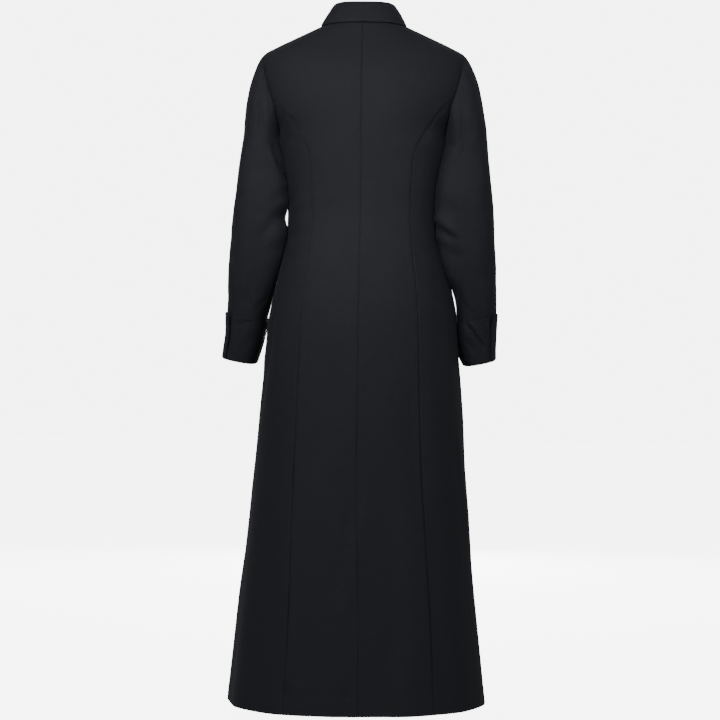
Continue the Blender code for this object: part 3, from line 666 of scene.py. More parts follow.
def mainPanel(column):
    # Back or front, from the middle, or the lap's edge, to the armhole and the princess seam
    front = column == "front"
    neckAngle, neckLevels = neckLine(front, neckAt)
    shoulderAngle, shoulderLevels = shoulderLine(shoulderAt)
    topAngle = np.append(neckAngle, shoulderAngle[1:])
    topLevel = np.append(neckLevels, shoulderLevels[1:])

    holeAngle, holeLevel = armholeLine("upper", column, upperAt)
    start = holeAngle[-1], holeLevel[-1]
    seamLevels = start[1] + (body["chest"] - start[1]) * np.append(0, upperSeam)
    rightLevel = np.append(holeLevel, seamLevels[1:])
    rightAngle = np.append(holeAngle, princessLine(column, start, seamLevels)[1:])

    beside = princess["armholeShare"][column]
    run = np.append(upperAt * beside, beside + (1 - beside) * upperSeam)
    blend = run ** lines["rowSpread"]
    middle = sideOf(topAngle[0], topLevel[0])
    leftLevel = topLevel[0] + (body["chest"] - topLevel[0]) * blend
    seamAngle = princessLine(column, start, np.append(start[1], lowLevels))[1:]
    seamSide = sideOf(seamAngle, lowLevels)
    share = columnShares()
    lowSide = middle + (seamSide - middle)[:, None] * share

    upper = fillGrid(
        pairs(sideOf(topAngle, topLevel), topLevel), pairs(lowSide[0], body["chest"] + 0 * share),
        pairs(middle + 0 * blend, leftLevel), pairs(sideOf(rightAngle, rightLevel), rightLevel), share, blend)
    angle = angleAt(upper[..., 0], upper[..., 1], front)
    angle[0], angle[:, -1] = topAngle, rightAngle
    lowAngle = angleAt(lowSide, lowLevels[:, None] + 0 * lowSide, front)
    lowAngle += (seamAngle - lowAngle[:, -1])[:, None] * share
    level = np.vstack([upper[..., 1], np.tile(lowLevels[1:, None], len(share))])
    angle = np.vstack([angle, lowAngle[1:]])
    return addLap(angle, level) if front else (angle, level)


# The lap's columns, which of them lies on the centre line, and the column where the neckline ends
lapSides = body["lapReach"] * np.linspace(-1, 1, lines["lapColumns"])[:-1]
lapMiddle = len(lapSides) // 2
frontNeckEnd = len(lapSides) + len(neckAt)


def addLap(angle, level):
    # More columns carry the front past the centre line, level with the first one
    neck = neckLevel(lapSides)
    share = (level[:, :1] - level[0, 0]) / (body["hem"] - level[0, 0])
    lapLevel = neck + (body["hem"] - neck) * share
    lapAngle = angleAt(lapSides + 0 * lapLevel, lapLevel, True)
    return np.hstack([lapAngle, angle]), np.hstack([lapLevel, level])


def sidePanel(column):
    # From the princess seam to the side seam
    holeAngle, holeLevel = armholeLine("lower", column, lowerAt)
    start = holeAngle[0], holeLevel[0]
    down = np.append(0, upperSeam)
    seamLevels = start[1] + (body["chest"] - start[1]) * down
    sideLevels = holeLevel[-1] + (body["chest"] - holeLevel[-1]) * down
    leftAngle = princessLine(column, start, seamLevels)
    seamAngle = princessLine(column, start, np.append(start[1], lowLevels))[1:]
    lowAngle = seamAngle[:, None] + (np.pi / 2 - seamAngle)[:, None] * lowerAt
    upper = fillGrid(
        pairs(holeAngle, holeLevel), pairs(lowAngle[0], body["chest"] + 0 * lowerAt),
        pairs(leftAngle, seamLevels), pairs(np.pi / 2 + 0 * sideLevels, sideLevels), lowerAt, down)
    level = np.vstack([upper[..., 1], np.tile(lowLevels[1:, None], len(lowerAt))])
    return np.vstack([upper[..., 0], lowAngle[1:]]), level


def lapRise(hand, angle, level):
    # The right front rises over the left one near the centre line
    side = abs(sideOf(angle, level))
    close = 1 - eased(side, body["lapReach"] + body["lapFlat"], body["lapFade"])
    return np.where((hand < 0) & (np.cos(angle) < 0), body["lapLift"] * close, 0.0)


# Folds of the body: degrees round from the centre back, left positive; width and depth in metres
bodyFolds = (
    # back, as the picture shows them
    (53.0, -0.188, 44.0, -0.216, 0.001, 0.0050, 0.0019, 0.6),
    (-53.0, -0.186, -47.0, -0.206, -0.001, 0.0045, 0.0014, 0.6),
    (-90.0, -0.440, -90.0, -0.900, 0.000, 0.0300, -0.0044, 0.0),
    (-90.0, -1.000, -90.0, -1.460, 0.000, 0.0500, 0.0036, 0.0),
    (-90.0, -0.500, -90.0, -0.615, 0.000, 0.0300, -0.0016, 0.0),
    (90.0, -0.585, 90.0, -0.720, 0.000, 0.0300, -0.0026, 0.0),
    (90.0, -1.080, 90.0, -1.460, 0.000, 0.0500, -0.0034, 0.0),
    (57.0, -0.235, 45.0, -0.262, 0.002, 0.0090, 0.0012, 0.5),
    (-50.0, -0.215, -42.0, -0.262, -0.002, 0.0080, 0.0014, 0.5),
    (-63.0, -0.820, -66.5, -1.090, 0.004, 0.0080, 0.0022, 0.7),
    (1.0, -0.960, 9.5, -1.180, -0.004, 0.0120, 0.0026, 0.6),
    (20.0, -0.330, 58.0, -0.372, 0.003, 0.0110, 0.0010, 0.6),
    (-18.0, -0.350, -60.0, -0.385, 0.003, 0.0120, 0.0010, 0.6),
    (30.0, -0.430, 70.0, -0.452, -0.003, 0.0130, 0.0011, 0.6),
    (-35.0, -0.450, -74.0, -0.440, -0.003, 0.0120, 0.0010, 0.6),
    (14.0, -0.640, 24.0, -0.930, 0.006, 0.0200, 0.0030, 0.5),
    (-30.0, -0.700, -36.0, -1.000, -0.006, 0.0200, 0.0030, 0.5),
    (62.0, -0.560, 74.0, -0.820, 0.006, 0.0160, 0.0028, 0.6),
    (-54.0, -0.560, -50.0, -0.760, 0.004, 0.0170, 0.0022, 0.5),
    (-16.0, -0.900, -20.0, -1.340, 0.004, 0.0240, 0.0030, 0.5),
    (30.0, -1.320, 27.0, -1.400, 0.002, 0.0110, 0.0022, 0.6),
    (3.0, -1.330, 6.0, -1.400, 0.002, 0.0110, 0.0020, 0.6),
    (-14.0, -1.240, -13.0, -1.400, 0.002, 0.0140, 0.0022, 0.6),
    # sides and front, similar ones
    (84.0, -0.236, 96.0, -0.300, 0.003, 0.0110, 0.0016, 0.6),
    (-86.0, -0.236, -97.0, -0.290, 0.003, 0.0110, 0.0015, 0.6),
    (108.0, -0.400, 140.0, -0.424, 0.003, 0.0120, 0.0013, 0.6),
    (-110.0, -0.392, -146.0, -0.418, -0.003, 0.0120, 0.0013, 0.6),
    (112.0, -0.470, 150.0, -0.452, 0.003, 0.0130, 0.0011, 0.6),
    (-104.0, -0.455, -138.0, -0.470, 0.003, 0.0130, 0.0012, 0.6),
    (128.0, -0.300, 150.0, -0.345, 0.004, 0.0120, 0.0013, 0.6),
    (-130.0, -0.302, -152.0, -0.352, 0.004, 0.0120, 0.0013, 0.6),
    (118.0, -0.620, 112.0, -0.930, 0.006, 0.0190, 0.0019, 0.6),
    (-120.0, -0.640, -114.0, -0.960, -0.006, 0.0190, 0.0018, 0.6),
    (150.0, -0.560, 156.0, -0.860, 0.005, 0.0180, 0.0014, 0.5),
    (-150.0, -0.600, -158.0, -0.900, 0.005, 0.0180, 0.0014, 0.5),
    (134.0, -0.960, 128.0, -1.240, 0.006, 0.0180, 0.0016, 0.6),
    (-98.0, -0.900, -92.0, -1.180, 0.005, 0.0160, 0.0018, 0.6),
    (97.0, -0.880, 102.0, -1.170, 0.005, 0.0160, 0.0018, 0.6),
)


# Unevenness of the body's cloth. calm and grows: the drop where each starts, and how far it eases
# fine, like waver and shownVary further on: reach, length and the seed of the waves
waver = {"calm": (0.015, 0.05), "reach": 0.0004, "more": 0.0007, "grows": (0.30, 0.9),
         "length": 0.17, "upright": 0.5, "seed": 1.3, "fine": (0.00022, 0.05, 2.1)}


def drapeBody(angle, level, places):
    # Listed folds, and a slight unevenness that grows towards the hem; the neck stays calm
    half, back, _ = sectionAt(level)
    reach = waver["reach"] + waver["more"] * eased(-level, *waver["grows"])
    return eased(-level, *waver["calm"]) * (
        folds(bodyFolds, np.degrees(angle), level, (half + back) / 2)
        + unevenness(places * [1, 1, waver["upright"]], reach, waver["length"], waver["seed"])
        + unevenness(places, *waver["fine"]))


panels = {
    # which of each panel's seams has the allowances under it
    "lips": {"back": {"left": 1, "right": 1, "top": 1}, "side_back": {"left": 0, "right": 1, "top": 0},
             "side_front": {"left": 0, "right": 0, "top": 0}, "front": {"left": 0, "right": 1, "top": 0}},
    # how clearly the seams show on each side, in depth and in painted shade, from the shoulders to the hem,
    # and at the centre back
    "shown": table(("level", "left", "right"), (
        (-0.100, 0.90, 0.90), (-0.300, 0.90, 1.00), (-0.450, 0.45, 0.80), (-0.600, 0.60, 1.10),
        (-0.750, 0.95, 1.30), (-1.000, 1.00, 1.60), (-1.250, 1.00, 1.50), (-1.380, 0.60, 0.80))),
    "centreShown": 0.7, "centreReach": 0.02, "shownVary": (0.4, 0.16, 0.8), "shownRange": (0.3, 2.6),
    "formMost": 1.3, "pullStart": 0.003, "lipRows": 5,
    "hemFold": 0.032, "hemStep": 0.0004, "hemStepEase": 0.002, "hemEdge": 0.004, "frontEdge": 0.003,
    # drop where the seams' painted shade lines widen and where the hem tilts, and how far each of these eases
    "lowLineWidth": 0.0004, "lowLine": (0.6, 0.5),
    "hemTilt": 0.0095, "hemLift": 0.0005, "hemDrop": (1.1, 0.28),
    # degrees by which the back's seams turn low down, the drop where that starts and how far it eases
    "swing": (2.0, 0.90, 0.35), "leftSwing": (2.5, 0.70, 0.50),
    "hangsFrom": ["collar_stand"],
}
upperRows = len(upperAt)


def swung(column, hand, angle, level):
    # Low down the back's seams hang a little to the wearer's right, the left princess seam most of all
    turned = hand * angle
    if "back" not in column:
        return turned
    degrees, start, ease = panels["swing"]
    shift = degrees * eased(-level, start, ease) * np.cos(turned) ** 2
    if hand > 0:
        degrees, start, ease = panels["leftSwing"]
        shift = shift + degrees * eased(-level, start, ease) * np.sin(2 * turned) ** 2
    return turned - np.radians(shift)


def seamClarity(column, hand, level, across):
    # How clearly the seams show at each level, in depth and in painted shade, and along the centre back
    clear = read(panels["shown"], "left" if hand > 0 else "right", level)
    if column == "back":
        clear = clear + (panels["centreShown"] - clear) * (1 - ramp(across / panels["centreReach"]))
    return clear


def drapedPanel(column, hand, armholeThrough, neckThrough):
    # The panel's outer and inner grids with its seams, hem and folds, and what the material needs to know
    word = "front" if "front" in column else "back"
    main = column in ("back", "front")
    angle, level = mainPanel(word) if main else sidePanel(word)
    turned = swung(column, hand, angle, level)
    base, normal = bodyPoint(turned, level), bodyNormal(turned, level)
    across, down = runAlong(base, 1), runAlong(base)
    toSeam = {"left": across, "right": across[:, -1:] - across, "top": down}
    if column == "front":
        del toSeam["left"]
    closest = np.min(list(toSeam.values()), axis=0)
    clear = seamClarity(column, hand, level, across)
    drawn = np.clip(clear + unevenness(base, *panels["shownVary"]), *panels["shownRange"])
    shown = np.minimum(drawn, panels["formMost"])

    offset = drapeBody(turned, level, base) - shown * cloth["seamDip"] * hump(closest / cloth["seamWidth"])
    lips = dict(panels["lips"][column])
    # Both allowances of the centre back seam lie under the left back
    if column == "back" and hand < 0:
        lips["left"] = 0
    row = np.arange(len(level))[:, None]
    belowArmhole = eased(row, upperRows - 1, panels["lipRows"]) if main else 1.0
    for side, distance in toSeam.items():
        weight = lips[side] * (belowArmhole if side == "right" else 1.0)
        pulls = puckers(distance, across if side == "top" else down, 3 * hand + len(column))
        offset = offset + shown * weight * lipProfile(distance) + pulls * ramp(closest / panels["pullStart"])
    toHem = down[-1:] - down
    offset = offset + panels["hemStep"] * (1 - eased(toHem, panels["hemFold"], panels["hemStepEase"]))
    edge = hump(toHem / panels["hemEdge"])
    if column == "front":
        edge = np.maximum(edge, hump(across / panels["frontEdge"]))
        offset = offset + lapRise(hand, angle, level)
    outer = base + offset[..., None] * normal
    inner = outer - cloth["wall"] * normal
    if main:
        turnIn(outer, inner, np.s_[:upperRows, -1], base[:upperRows, -1], armholeThrough)
        neck = np.s_[0, :len(neckThrough)]
        rise = lapRise(hand, angle, level)[neck][:, None] * normal[neck] * (column == "front")
        turnIn(outer, inner, neck, base[neck] + rise, neckThrough)
    else:
        turnIn(outer, inner, 0, base[0], armholeThrough)
    drop = eased(-level, *panels["hemDrop"]) * (panels["hemLift"] - panels["hemTilt"] * base[..., 0])
    outer[..., 2] += drop
    inner[..., 2] += drop
    # Painted shade along the seams, wider low down: a mask that darkens the material's colour
    broad = panels["lowLineWidth"] * eased(-level, *panels["lowLine"]) * (clear > panels["centreShown"])
    seamShadeMask = drawn * hump(closest / (cloth["seamShadeWidth"] + broad))
    return outer, inner, normal, np.stack([hand * across, level], axis=-1), seamShadeMask, edge


def buildPanel(column, word, hand, armholeThrough, neckThrough):
    # One panel as a closed shell
    outer, inner, normal, uv, seamShadeMask, edge = drapedPanel(column, hand, armholeThrough, neckThrough)
    rounded = ("bottom", "left") if column == "front" else ("bottom",)
    sew(f"{column}Cloth_{word}", f"{column}_{word}", outer, inner, uv, seamShadeMask, edge,
        rounded)
    return outer, normal


# Armhole ring: seam points that each sleeve shares with its panels

def armholeRing():
    # Over the back from the shoulder's tip, under the arm and up the front
    upperBack, lowerBack, lowerFront, upperFront = (
        np.array(armholeLine(part, column, at)) for part, column, at in (
            ("upper", "back", upperAt), ("lower", "back", lowerAt),
            ("lower", "front", lowerAt), ("upper", "front", upperAt)))
    return np.hstack([upperBack[:, :-1], lowerBack[:, :-1], lowerFront[:, :0:-1], upperFront[:, :0:-1]])


def ringTurns(points):
    # Each half of the armhole, back and front, spans half a turn of the arm
    run = runAlong(np.vstack([points, points[:1]]))
    under = len(upperAt) + len(lowerAt) - 2
    backShare = run[:under] / run[under]
    frontShare = (run[under:-1] - run[under]) / (run[-1] - run[under])
    return np.pi * np.append(backShare, 1 + frontShare)


def soften(vectors, times, ring=False):
    # Evens out how a seam's way through the wall turns from point to point
    for _ in range(times):
        ends = (vectors[[-1]], vectors[[0]]) if ring else (vectors[[0]], vectors[[-1]])
        long = np.concatenate([ends[0], vectors, ends[1]])
        vectors = (long[:-2] + 2 * long[1:-1] + long[2:]) / 4
    return vectors


def gridNormals(points, ring, hand):
    # Square to the grid; hand is 1 where columns times rows points outwards
    across = np.roll(points, -1, axis=1) - np.roll(points, 1, axis=1) if ring else np.gradient(points, axis=1)
    return hand * unit(np.cross(across, np.gradient(points, axis=0)))


def pointing(normals, way):
    # Turns normals to the side that a way points to
    return normals * np.sign(np.sum(normals * way, axis=-1, keepdims=True))


# Sleeve: level sections of the arm, how the two arms differ, and how the cap rises from the armhole
arm = {
    "sections": table(("level", "inner", "outer", "middle", "depth", "outRise", "frontRise"), (
        (-0.258, 0.1730, 0.2500, 0.003, 0.0650, 0.000, 0.000),
        (-0.320, 0.1605, 0.2570, 0.004, 0.0620, 0.000, 0.000),
        (-0.381, 0.1565, 0.2634, 0.002, 0.0590, 0.000, 0.000),
        (-0.443, 0.1585, 0.2680, -0.004, 0.0570, 0.002, 0.002),
        (-0.504, 0.1703, 0.2712, -0.014, 0.0560, 0.006, 0.006),
        (-0.566, 0.1848, 0.2727, -0.027, 0.0545, 0.012, 0.011),
        (-0.600, 0.1942, 0.2735, -0.034, 0.0530, 0.015, 0.012),
        (-0.645, 0.2012, 0.2735, -0.043, 0.0515, 0.015, 0.013),
        (-0.690, 0.2085, 0.2730, -0.051, 0.0500, 0.013, 0.013))),
    "sides": table(("level", "leftInner", "leftOuter", "rightInner", "rightOuter"), (
        (-0.258, 0.0000, -0.0022, 0.0000, 0.0054), (-0.320, 0.0000, -0.0006, 0.0000, 0.0050),
        (-0.390, 0.0000, 0.0010, -0.0010, 0.0045), (-0.450, 0.0000, 0.0025, 0.0005, 0.0035),
        (-0.510, 0.0000, 0.0040, 0.0030, 0.0030), (-0.540, 0.0004, 0.0048, 0.0066, 0.0036),
        (-0.560, 0.0010, 0.0050, 0.0076, 0.0042), (-0.590, 0.0024, 0.0054, 0.0026, 0.0036),
        (-0.612, 0.0022, 0.0060, -0.0044, 0.0030), (-0.645, 0.0042, 0.0080, -0.0068, 0.0022),
        (-0.670, 0.0078, 0.0124, -0.0044, 0.0020), (-0.690, 0.0108, 0.0160, 0.0024, 0.0026),
        (-0.704, 0.0120, 0.0176, 0.0130, 0.0016))),
    # how far the back of each sleeve swells against the body's side, and at which turn
    "swell": {
        "left": table(("level", "reach"), (
            (-0.100, 0.0), (-0.130, 0.0015), (-0.165, 0.0040), (-0.205, 0.0080), (-0.260, 0.0100),
            (-0.340, 0.0110), (-0.376, 0.0100), (-0.388, 0.0040), (-0.398, 0.0010), (-0.410, 0.0040),
            (-0.426, 0.0100), (-0.470, 0.0110), (-0.510, 0.0060), (-0.550, 0.0020), (-0.580, 0.0000))),
        "right": table(("level", "reach"), (
            (-0.100, 0.0), (-0.130, 0.0020), (-0.165, 0.0045), (-0.205, 0.0080), (-0.260, 0.0105),
            (-0.330, 0.0120), (-0.420, 0.0125), (-0.500, 0.0120), (-0.522, 0.0100), (-0.538, 0.0030),
            (-0.555, 0.0000))),
    },
    "swellTurn": table(("level", "turn"), (
        (-0.100, 160.0), (-0.270, 160.0), (-0.350, 149.0), (-0.450, 148.0), (-0.700, 148.0))),
    "swellSpread": 27.0, "swellStart": 0.011,
    "clearance": 0.0006, "clearFrom": 0.012, "facing": 0.1, "facingLeast": 0.3,
    "boxiness": 0.09, "elbow": -0.443, "foldRadius": 0.056, "upperRings": 44, "lowerRings": 54,
    "cap": 0.17, "capStep": 0.0045, "capSpacing": 0.95, "capAim": 0.2,
    "capStart": 0.85, "capEnd": 0.80, "capLift": 0.48, "underLift": 0.65,
    # distances down the sleeve, and for foldsEnd up from its end: a start, and how far it eases
    "capRise": 0.0005, "headRise": 0.004, "headFall": (0.012, 0.03),
    "foldsStart": (0.004, 0.03), "foldsEnd": (0.085, 0.03),
    "ease": 0.0004, "easeLength": 0.023, "waver": (0.0008, 0.12, 2.7), "fineWaver": (0.0003, 0.04, 0.6),
    "underarmDip": 0.0007, "underarmWidth": 0.0013, "underarmStart": 0.01, "soften": 50,
}


def clearOfBody(points):
    # How far points stand outside the body's level section, measured from its middle
    half, back, front = sectionAt(points[..., 2])
    x, y = points[..., 0] / half, points[..., 1] / np.where(points[..., 1] >= 0, back, front)
    full = squared(np.arctan2(x, y), body["boxiness"])
    return np.linalg.norm(points[..., :2], axis=-1) * (1 - full / np.hypot(x, y))


# Folds of the sleeves: degrees of turn, where 0 is the outer side, 90 the back and 180 the body side
sleeveFolds = {
    "left": (
        (78.0, -0.112, 116.0, -0.196, 0.001, 0.0040, 0.0026, 0.3),
        (132.0, -0.250, 150.0, -0.336, 0.001, 0.0050, 0.0052, 0.4),
        (66.0, -0.140, 104.0, -0.232, 0.003, 0.0070, 0.0030, 0.2),
        (215.0, -0.396, 150.0, -0.402, 0.000, 0.0090, 0.0026, 0.3),
        (160.0, -0.345, 112.0, -0.380, 0.003, 0.0100, 0.0032, 0.4),
        (60.0, -0.240, 96.0, -0.330, 0.006, 0.0170, 0.0018, 0.6),
        (150.0, -0.385, 100.0, -0.452, 0.004, 0.0110, 0.0022, 0.6),
        (176.0, -0.430, 118.0, -0.478, 0.004, 0.0120, 0.0020, 0.6),
        (30.0, -0.430, 62.0, -0.520, 0.004, 0.0160, 0.0014, 0.5),
        (140.0, -0.560, 112.0, -0.592, 0.002, 0.0050, 0.0017, 0.6),
        (156.0, -0.575, 128.0, -0.600, 0.002, 0.0050, 0.0015, 0.6),
        (98.0, -0.520, 86.0, -0.585, 0.003, 0.0120, 0.0014, 0.5),
        (230.0, -0.392, 290.0, -0.430, 0.005, 0.0110, 0.0032, 0.7),
        (215.0, -0.428, 300.0, -0.448, -0.005, 0.0120, 0.0036, 0.7),
        (222.0, -0.470, 285.0, -0.462, 0.004, 0.0120, 0.0026, 0.7),
        (250.0, -0.250, 230.0, -0.340, 0.005, 0.0130, 0.0024, 0.6),
        (300.0, -0.180, 265.0, -0.262, 0.005, 0.0120, 0.0022, 0.6),
        (270.0, -0.560, 250.0, -0.596, 0.003, 0.0080, 0.0016, 0.6),
        (320.0, -0.300, 335.0, -0.420, 0.005, 0.0180, 0.0016, 0.5),
    ),
    "right": (
        (80.0, -0.106, 96.0, -0.140, 0.001, 0.0034, 0.0020, 0.8),
        (90.0, -0.180, 122.0, -0.290, 0.002, 0.0070, 0.0028, 0.2),
        (176.0, -0.396, 112.0, -0.450, 0.004, 0.0070, 0.0056, 0.8),
        (170.0, -0.440, 108.0, -0.486, 0.004, 0.0120, 0.0022, 0.6),
        (160.0, -0.350, 110.0, -0.400, 0.004, 0.0120, 0.0018, 0.6),
        (66.0, -0.250, 88.0, -0.350, 0.006, 0.0180, 0.0018, 0.6),
        (40.0, -0.450, 58.0, -0.540, 0.004, 0.0160, 0.0016, 0.5),
        (134.0, -0.560, 106.0, -0.596, 0.002, 0.0060, 0.0014, 0.6),
        (235.0, -0.396, 292.0, -0.424, 0.005, 0.0110, 0.0032, 0.7),
        (218.0, -0.432, 296.0, -0.452, -0.005, 0.0120, 0.0034, 0.7),
        (226.0, -0.474, 280.0, -0.470, 0.004, 0.0120, 0.0026, 0.7),
        (246.0, -0.246, 226.0, -0.336, 0.005, 0.0130, 0.0024, 0.6),
        (296.0, -0.186, 262.0, -0.270, 0.005, 0.0120, 0.0022, 0.6),
        (268.0, -0.558, 246.0, -0.596, 0.003, 0.0080, 0.0016, 0.6),
        (322.0, -0.310, 338.0, -0.430, 0.005, 0.0180, 0.0016, 0.5),
    ),
}


def armRing(word, level, turn, grow=0.0):
    # A slightly squared oval round the arm; turn 0 is the outer side and 90 degrees the back
    at = {name: read(arm["sections"], name, level) for name in arm["sections"]}
    inner = at["inner"] + read(arm["sides"], word + "Inner", level)
    outer = at["outer"] + read(arm["sides"], word + "Outer", level)
    halfAcross = (outer - inner) / 2
    full = squared(turn, arm["boxiness"])
    x = (halfAcross + grow) * np.cos(turn) * full
    y = (at["depth"] + grow) * np.sin(turn) * full
    z = level + at["outRise"] * x / (2 * halfAcross) - at["frontRise"] * y / (2 * at["depth"])
    return np.stack([x + inner + halfAcross, y + at["middle"], z + 0 * x], axis=-1)


cuff = {
    "fold": -0.690, "top": -0.600, "seamHeight": 0.014, "space": 0.0006, "rows": 40, "foldRadius": 0.055,
    "slitGap": 0.0020, "slitTurn": 52.0, "flareDegrees": 26, "topFlare": 0.0006,
    "round": 0.40, "step": 0.0035, "besideEnds": (0.0008, 0.002), "besideTop": (0.0007, 0.0016, 0.003),
    "insideRows": 7, "foldRows": 9,
    # leafStart, edgeStart and stitchStart are shares of the cuff's height
    "stitchIn": 0.0055, "stitchStart": 0.12, "groove": 0.00035,
    "pillow": 0.0003, "pillowStart": 0.002, "pillowEnd": 0.004, "pillowFade": 0.002,
    "creaseStart": 0.006, "waver": (0.0005, 0.07, 1.1), "deepest": -0.0030, "deepestInside": -0.0004,
    "leafStart": 0.08, "thinTop": 0.6, "thinReach": 0.0035, "thinnest": 0.8,
    "rubbed": 0.3, "edgeWidth": 0.0022, "edgeStart": 0.05, "rollWidth": 0.003,
    "flare": {  # how far the front end stands out
        "left": table(("share", "out"), (
            (0.0, 0.0016), (0.3, 0.0024), (0.62, 0.0024), (0.85, 0.0034), (1.0, 0.0056))),
        "right": table(("share", "out"), (
            (0.0, 0.0014), (0.3, 0.0016), (0.62, 0.0016), (0.85, 0.0022), (1.0, 0.0036)))},
}


def sleeveLevels():
    # Even levels from the first full ring to the elbow, and on to the cuff's seam
    upper = np.linspace(arm["sections"]["level"][0], arm["elbow"], arm["upperRings"])
    lower = np.linspace(arm["elbow"], cuff["fold"] + cuff["seamHeight"], arm["lowerRings"])
    return np.append(upper, lower[1:])


def sleeveBase(word, ringPoints, ringNormals, turn):
    # The cap eases from the armhole to the first level ring, and the rings follow the arm
    levels = sleeveLevels()
    rings = armRing(word, levels[:, None], turn[None, :])
    gap = rings[0] - ringPoints
    length = np.linalg.norm(gap, axis=-1, keepdims=True)
    outwards = np.stack([np.cos(turn), np.sin(turn), 0 * turn], axis=-1)
    top = ((1 + np.cos(turn)) / 2)[:, None]
    lift = arm["capLift"] * top * outwards + arm["underLift"] * (1 - top) * ringNormals
    start = (unit(gap) + lift) * length * arm["capStart"]
    lower = armRing(word, levels[0] + (arm["elbow"] - levels[0]) * arm["capAim"], turn)
    finish = unit(lower - rings[0]) * length * arm["capEnd"]
    t = shares(arm["cap"], arm["capStep"], near=besideSeam)[:-1, None, None] ** arm["capSpacing"]
    return np.concatenate([hermite(ringPoints, start, rings[0], finish, t), rings])


def sleeveOffset(word, hand, turn, tube, normals, around, toUnderarm):
    # The head over the armhole seam, folds, seams, and a swelling that stays clear of the body
    degrees, level, down = np.degrees(turn), tube[..., 2], runAlong(tube)
    head = ramp(down / arm["headRise"]) * (1 - eased(down, *arm["headFall"]))
    easing = arm["ease"] * head * np.sin(around * 2 * np.pi / arm["easeLength"]) * (0.5 + 0.5 * np.cos(turn))
    calm = eased(down, *arm["foldsStart"]) * eased(down[-1:] - down, *arm["foldsEnd"])
    offset = arm["capRise"] * head + easing + calm * (
        folds(sleeveFolds[word], degrees[None, :] + 0 * down, level, arm["foldRadius"])
        + unevenness(tube, *arm["waver"], hand) + unevenness(tube, *arm["fineWaver"]))
    offset = offset - cloth["seamDip"] * hump(down / cloth["seamWidth"])
    underarm = hump(toUnderarm / arm["underarmWidth"]) * ramp(down / arm["underarmStart"])
    offset = offset - arm["underarmDip"] * underarm
    beside = hump((degrees - read(arm["swellTurn"], "turn", level)) / arm["swellSpread"])
    beside = beside * ramp(down / arm["swellStart"])
    offset = offset + read(arm["swell"][word], "reach", level) * beside
    towards = -np.sum(unit(tube * [1, 1, 0]) * normals, axis=-1)
    room = np.maximum(clearOfBody(tube) - arm["clearance"], 0) / np.maximum(towards, arm["facingLeast"])
    nearBody = (towards > arm["facing"]) & (down > arm["clearFrom"])
    return np.where(nearBody, np.minimum(offset, room), offset)


def buildSleeve(word, hand, turn, seamThrough, tube):
    # One tube from the armhole to the cuff, with a seam under the arm
    mirror = np.array([hand, 1, 1])
    normals = gridNormals(tube, True, -1)
    around = runAlong(np.concatenate([tube, tube[:, :1]], axis=1), 1)[:, :-1]
    underarm = np.argmin(abs(turn - np.pi))
    toUnderarm = abs(around - around[:, underarm:underarm + 1])
    outer = tube + sleeveOffset(word, hand, turn, tube, normals, around, toUnderarm)[..., None] * normals
    inner = outer - cloth["wall"] * normals
    turnIn(outer, inner, 0, tube[0], seamThrough)
    # Painted shade along the armhole and underarm seams
    seamShadeMask = np.maximum(*(hump(distance / cloth["seamShadeWidth"]) for distance in (runAlong(tube), toUnderarm)))
    uv = np.stack([hand * around, tube[..., 2]], axis=-1)
    sew(f"sleeveCloth_{word}", f"sleeve_{word}", outer * mirror, inner * mirror, uv, seamShadeMask, 0 * seamShadeMask,
        ring=True)


def cuffStations(word, around):
    # The cloth's outside and inside along a J: up from the fold, with the slit's ends apart
    nearEnd = hump(np.degrees(around[-1] - around) / cuff["flareDegrees"])
    wall, space, fold = cloth["wall"], cuff["space"], cuff["fold"]
    clear = wall + space / 2
    height = cuff["top"] - fold
    outside, inside, along = [], [], []

    def station(level, grow, share, part=1.0):
        return armRing(word, level, around, grow + part * nearEnd * read(cuff["flare"][word], "out", share))

    for level in np.linspace(fold + cuff["seamHeight"], fold + clear, cuff["insideRows"])[:-1]:
        part = (fold + cuff["seamHeight"] - level) / cuff["seamHeight"]
        outside.append(station(level, -wall, 0.0, part))
        inside.append(station(level, 0.0, 0.0, part))
        along.append(0.0)
    for bend in np.radians(np.linspace(180, 360, cuff["foldRows"])):
        for side, radius in ((outside, clear), (inside, space / 2)):
            side.append(station(fold + clear + radius * np.sin(bend), space / 2 + radius * np.cos(bend), 0.0))
        along.append(0.0)
    leafShares = shares(height, height / cuff["rows"], far=cuff["besideTop"])[1:]
    for level in fold + clear + (height - clear) * leafShares:
        share = (level - fold) / height
        outside.append(station(level, space + wall + cuff["topFlare"] * share, share))
        inside.append(station(level, space + cuff["topFlare"] * share, share))
        along.append(share)
    return np.array(outside), np.array(inside), np.array(along)


def toEdge(fromEnd, across):
    # Distance to the last row or to either end column
    return np.minimum(fromEnd, np.minimum(across, across[:, -1:] - across))


def stitchedEdge(nearEdge, form):
    # The edge is puffed out, and its stitching presses a groove into it
    puffed = form["pillow"] * ramp(nearEdge / form["pillowStart"])
    puffed = puffed * (1 - eased(nearEdge, form["pillowEnd"], form["pillowFade"]))
    return puffed - form["groove"] * hump((nearEdge - form["stitchIn"]) / cloth["grooveWidth"])


# Folds of the cuffs: degrees of turn, then level, as for the sleeves
cuffFolds = {
    "left": (
        (166.0, -0.611, 200.0, -0.611, 0.000, 0.0090, -0.0034, 0.0),
        (150.0, -0.606, 60.0, -0.622, 0.003, 0.0060, 0.0012, 0.6),
        (120.0, -0.640, 96.0, -0.676, 0.002, 0.0080, 0.0010, 0.5),
        (230.0, -0.620, 300.0, -0.650, 0.004, 0.0100, 0.0016, 0.6),
        (172.0, -0.640, 160.0, -0.680, 0.002, 0.0070, 0.0014, 0.6)),
    "right": (
        (122.0, -0.606, 70.0, -0.664, 0.002, 0.0042, 0.0026, 0.9),
        (128.0, -0.640, 92.0, -0.672, 0.002, 0.0080, 0.0012, 0.5),
        (236.0, -0.616, 300.0, -0.648, 0.004, 0.0100, 0.0016, 0.6),
        (170.0, -0.620, 150.0, -0.676, 0.002, 0.0070, 0.0012, 0.6)),
}


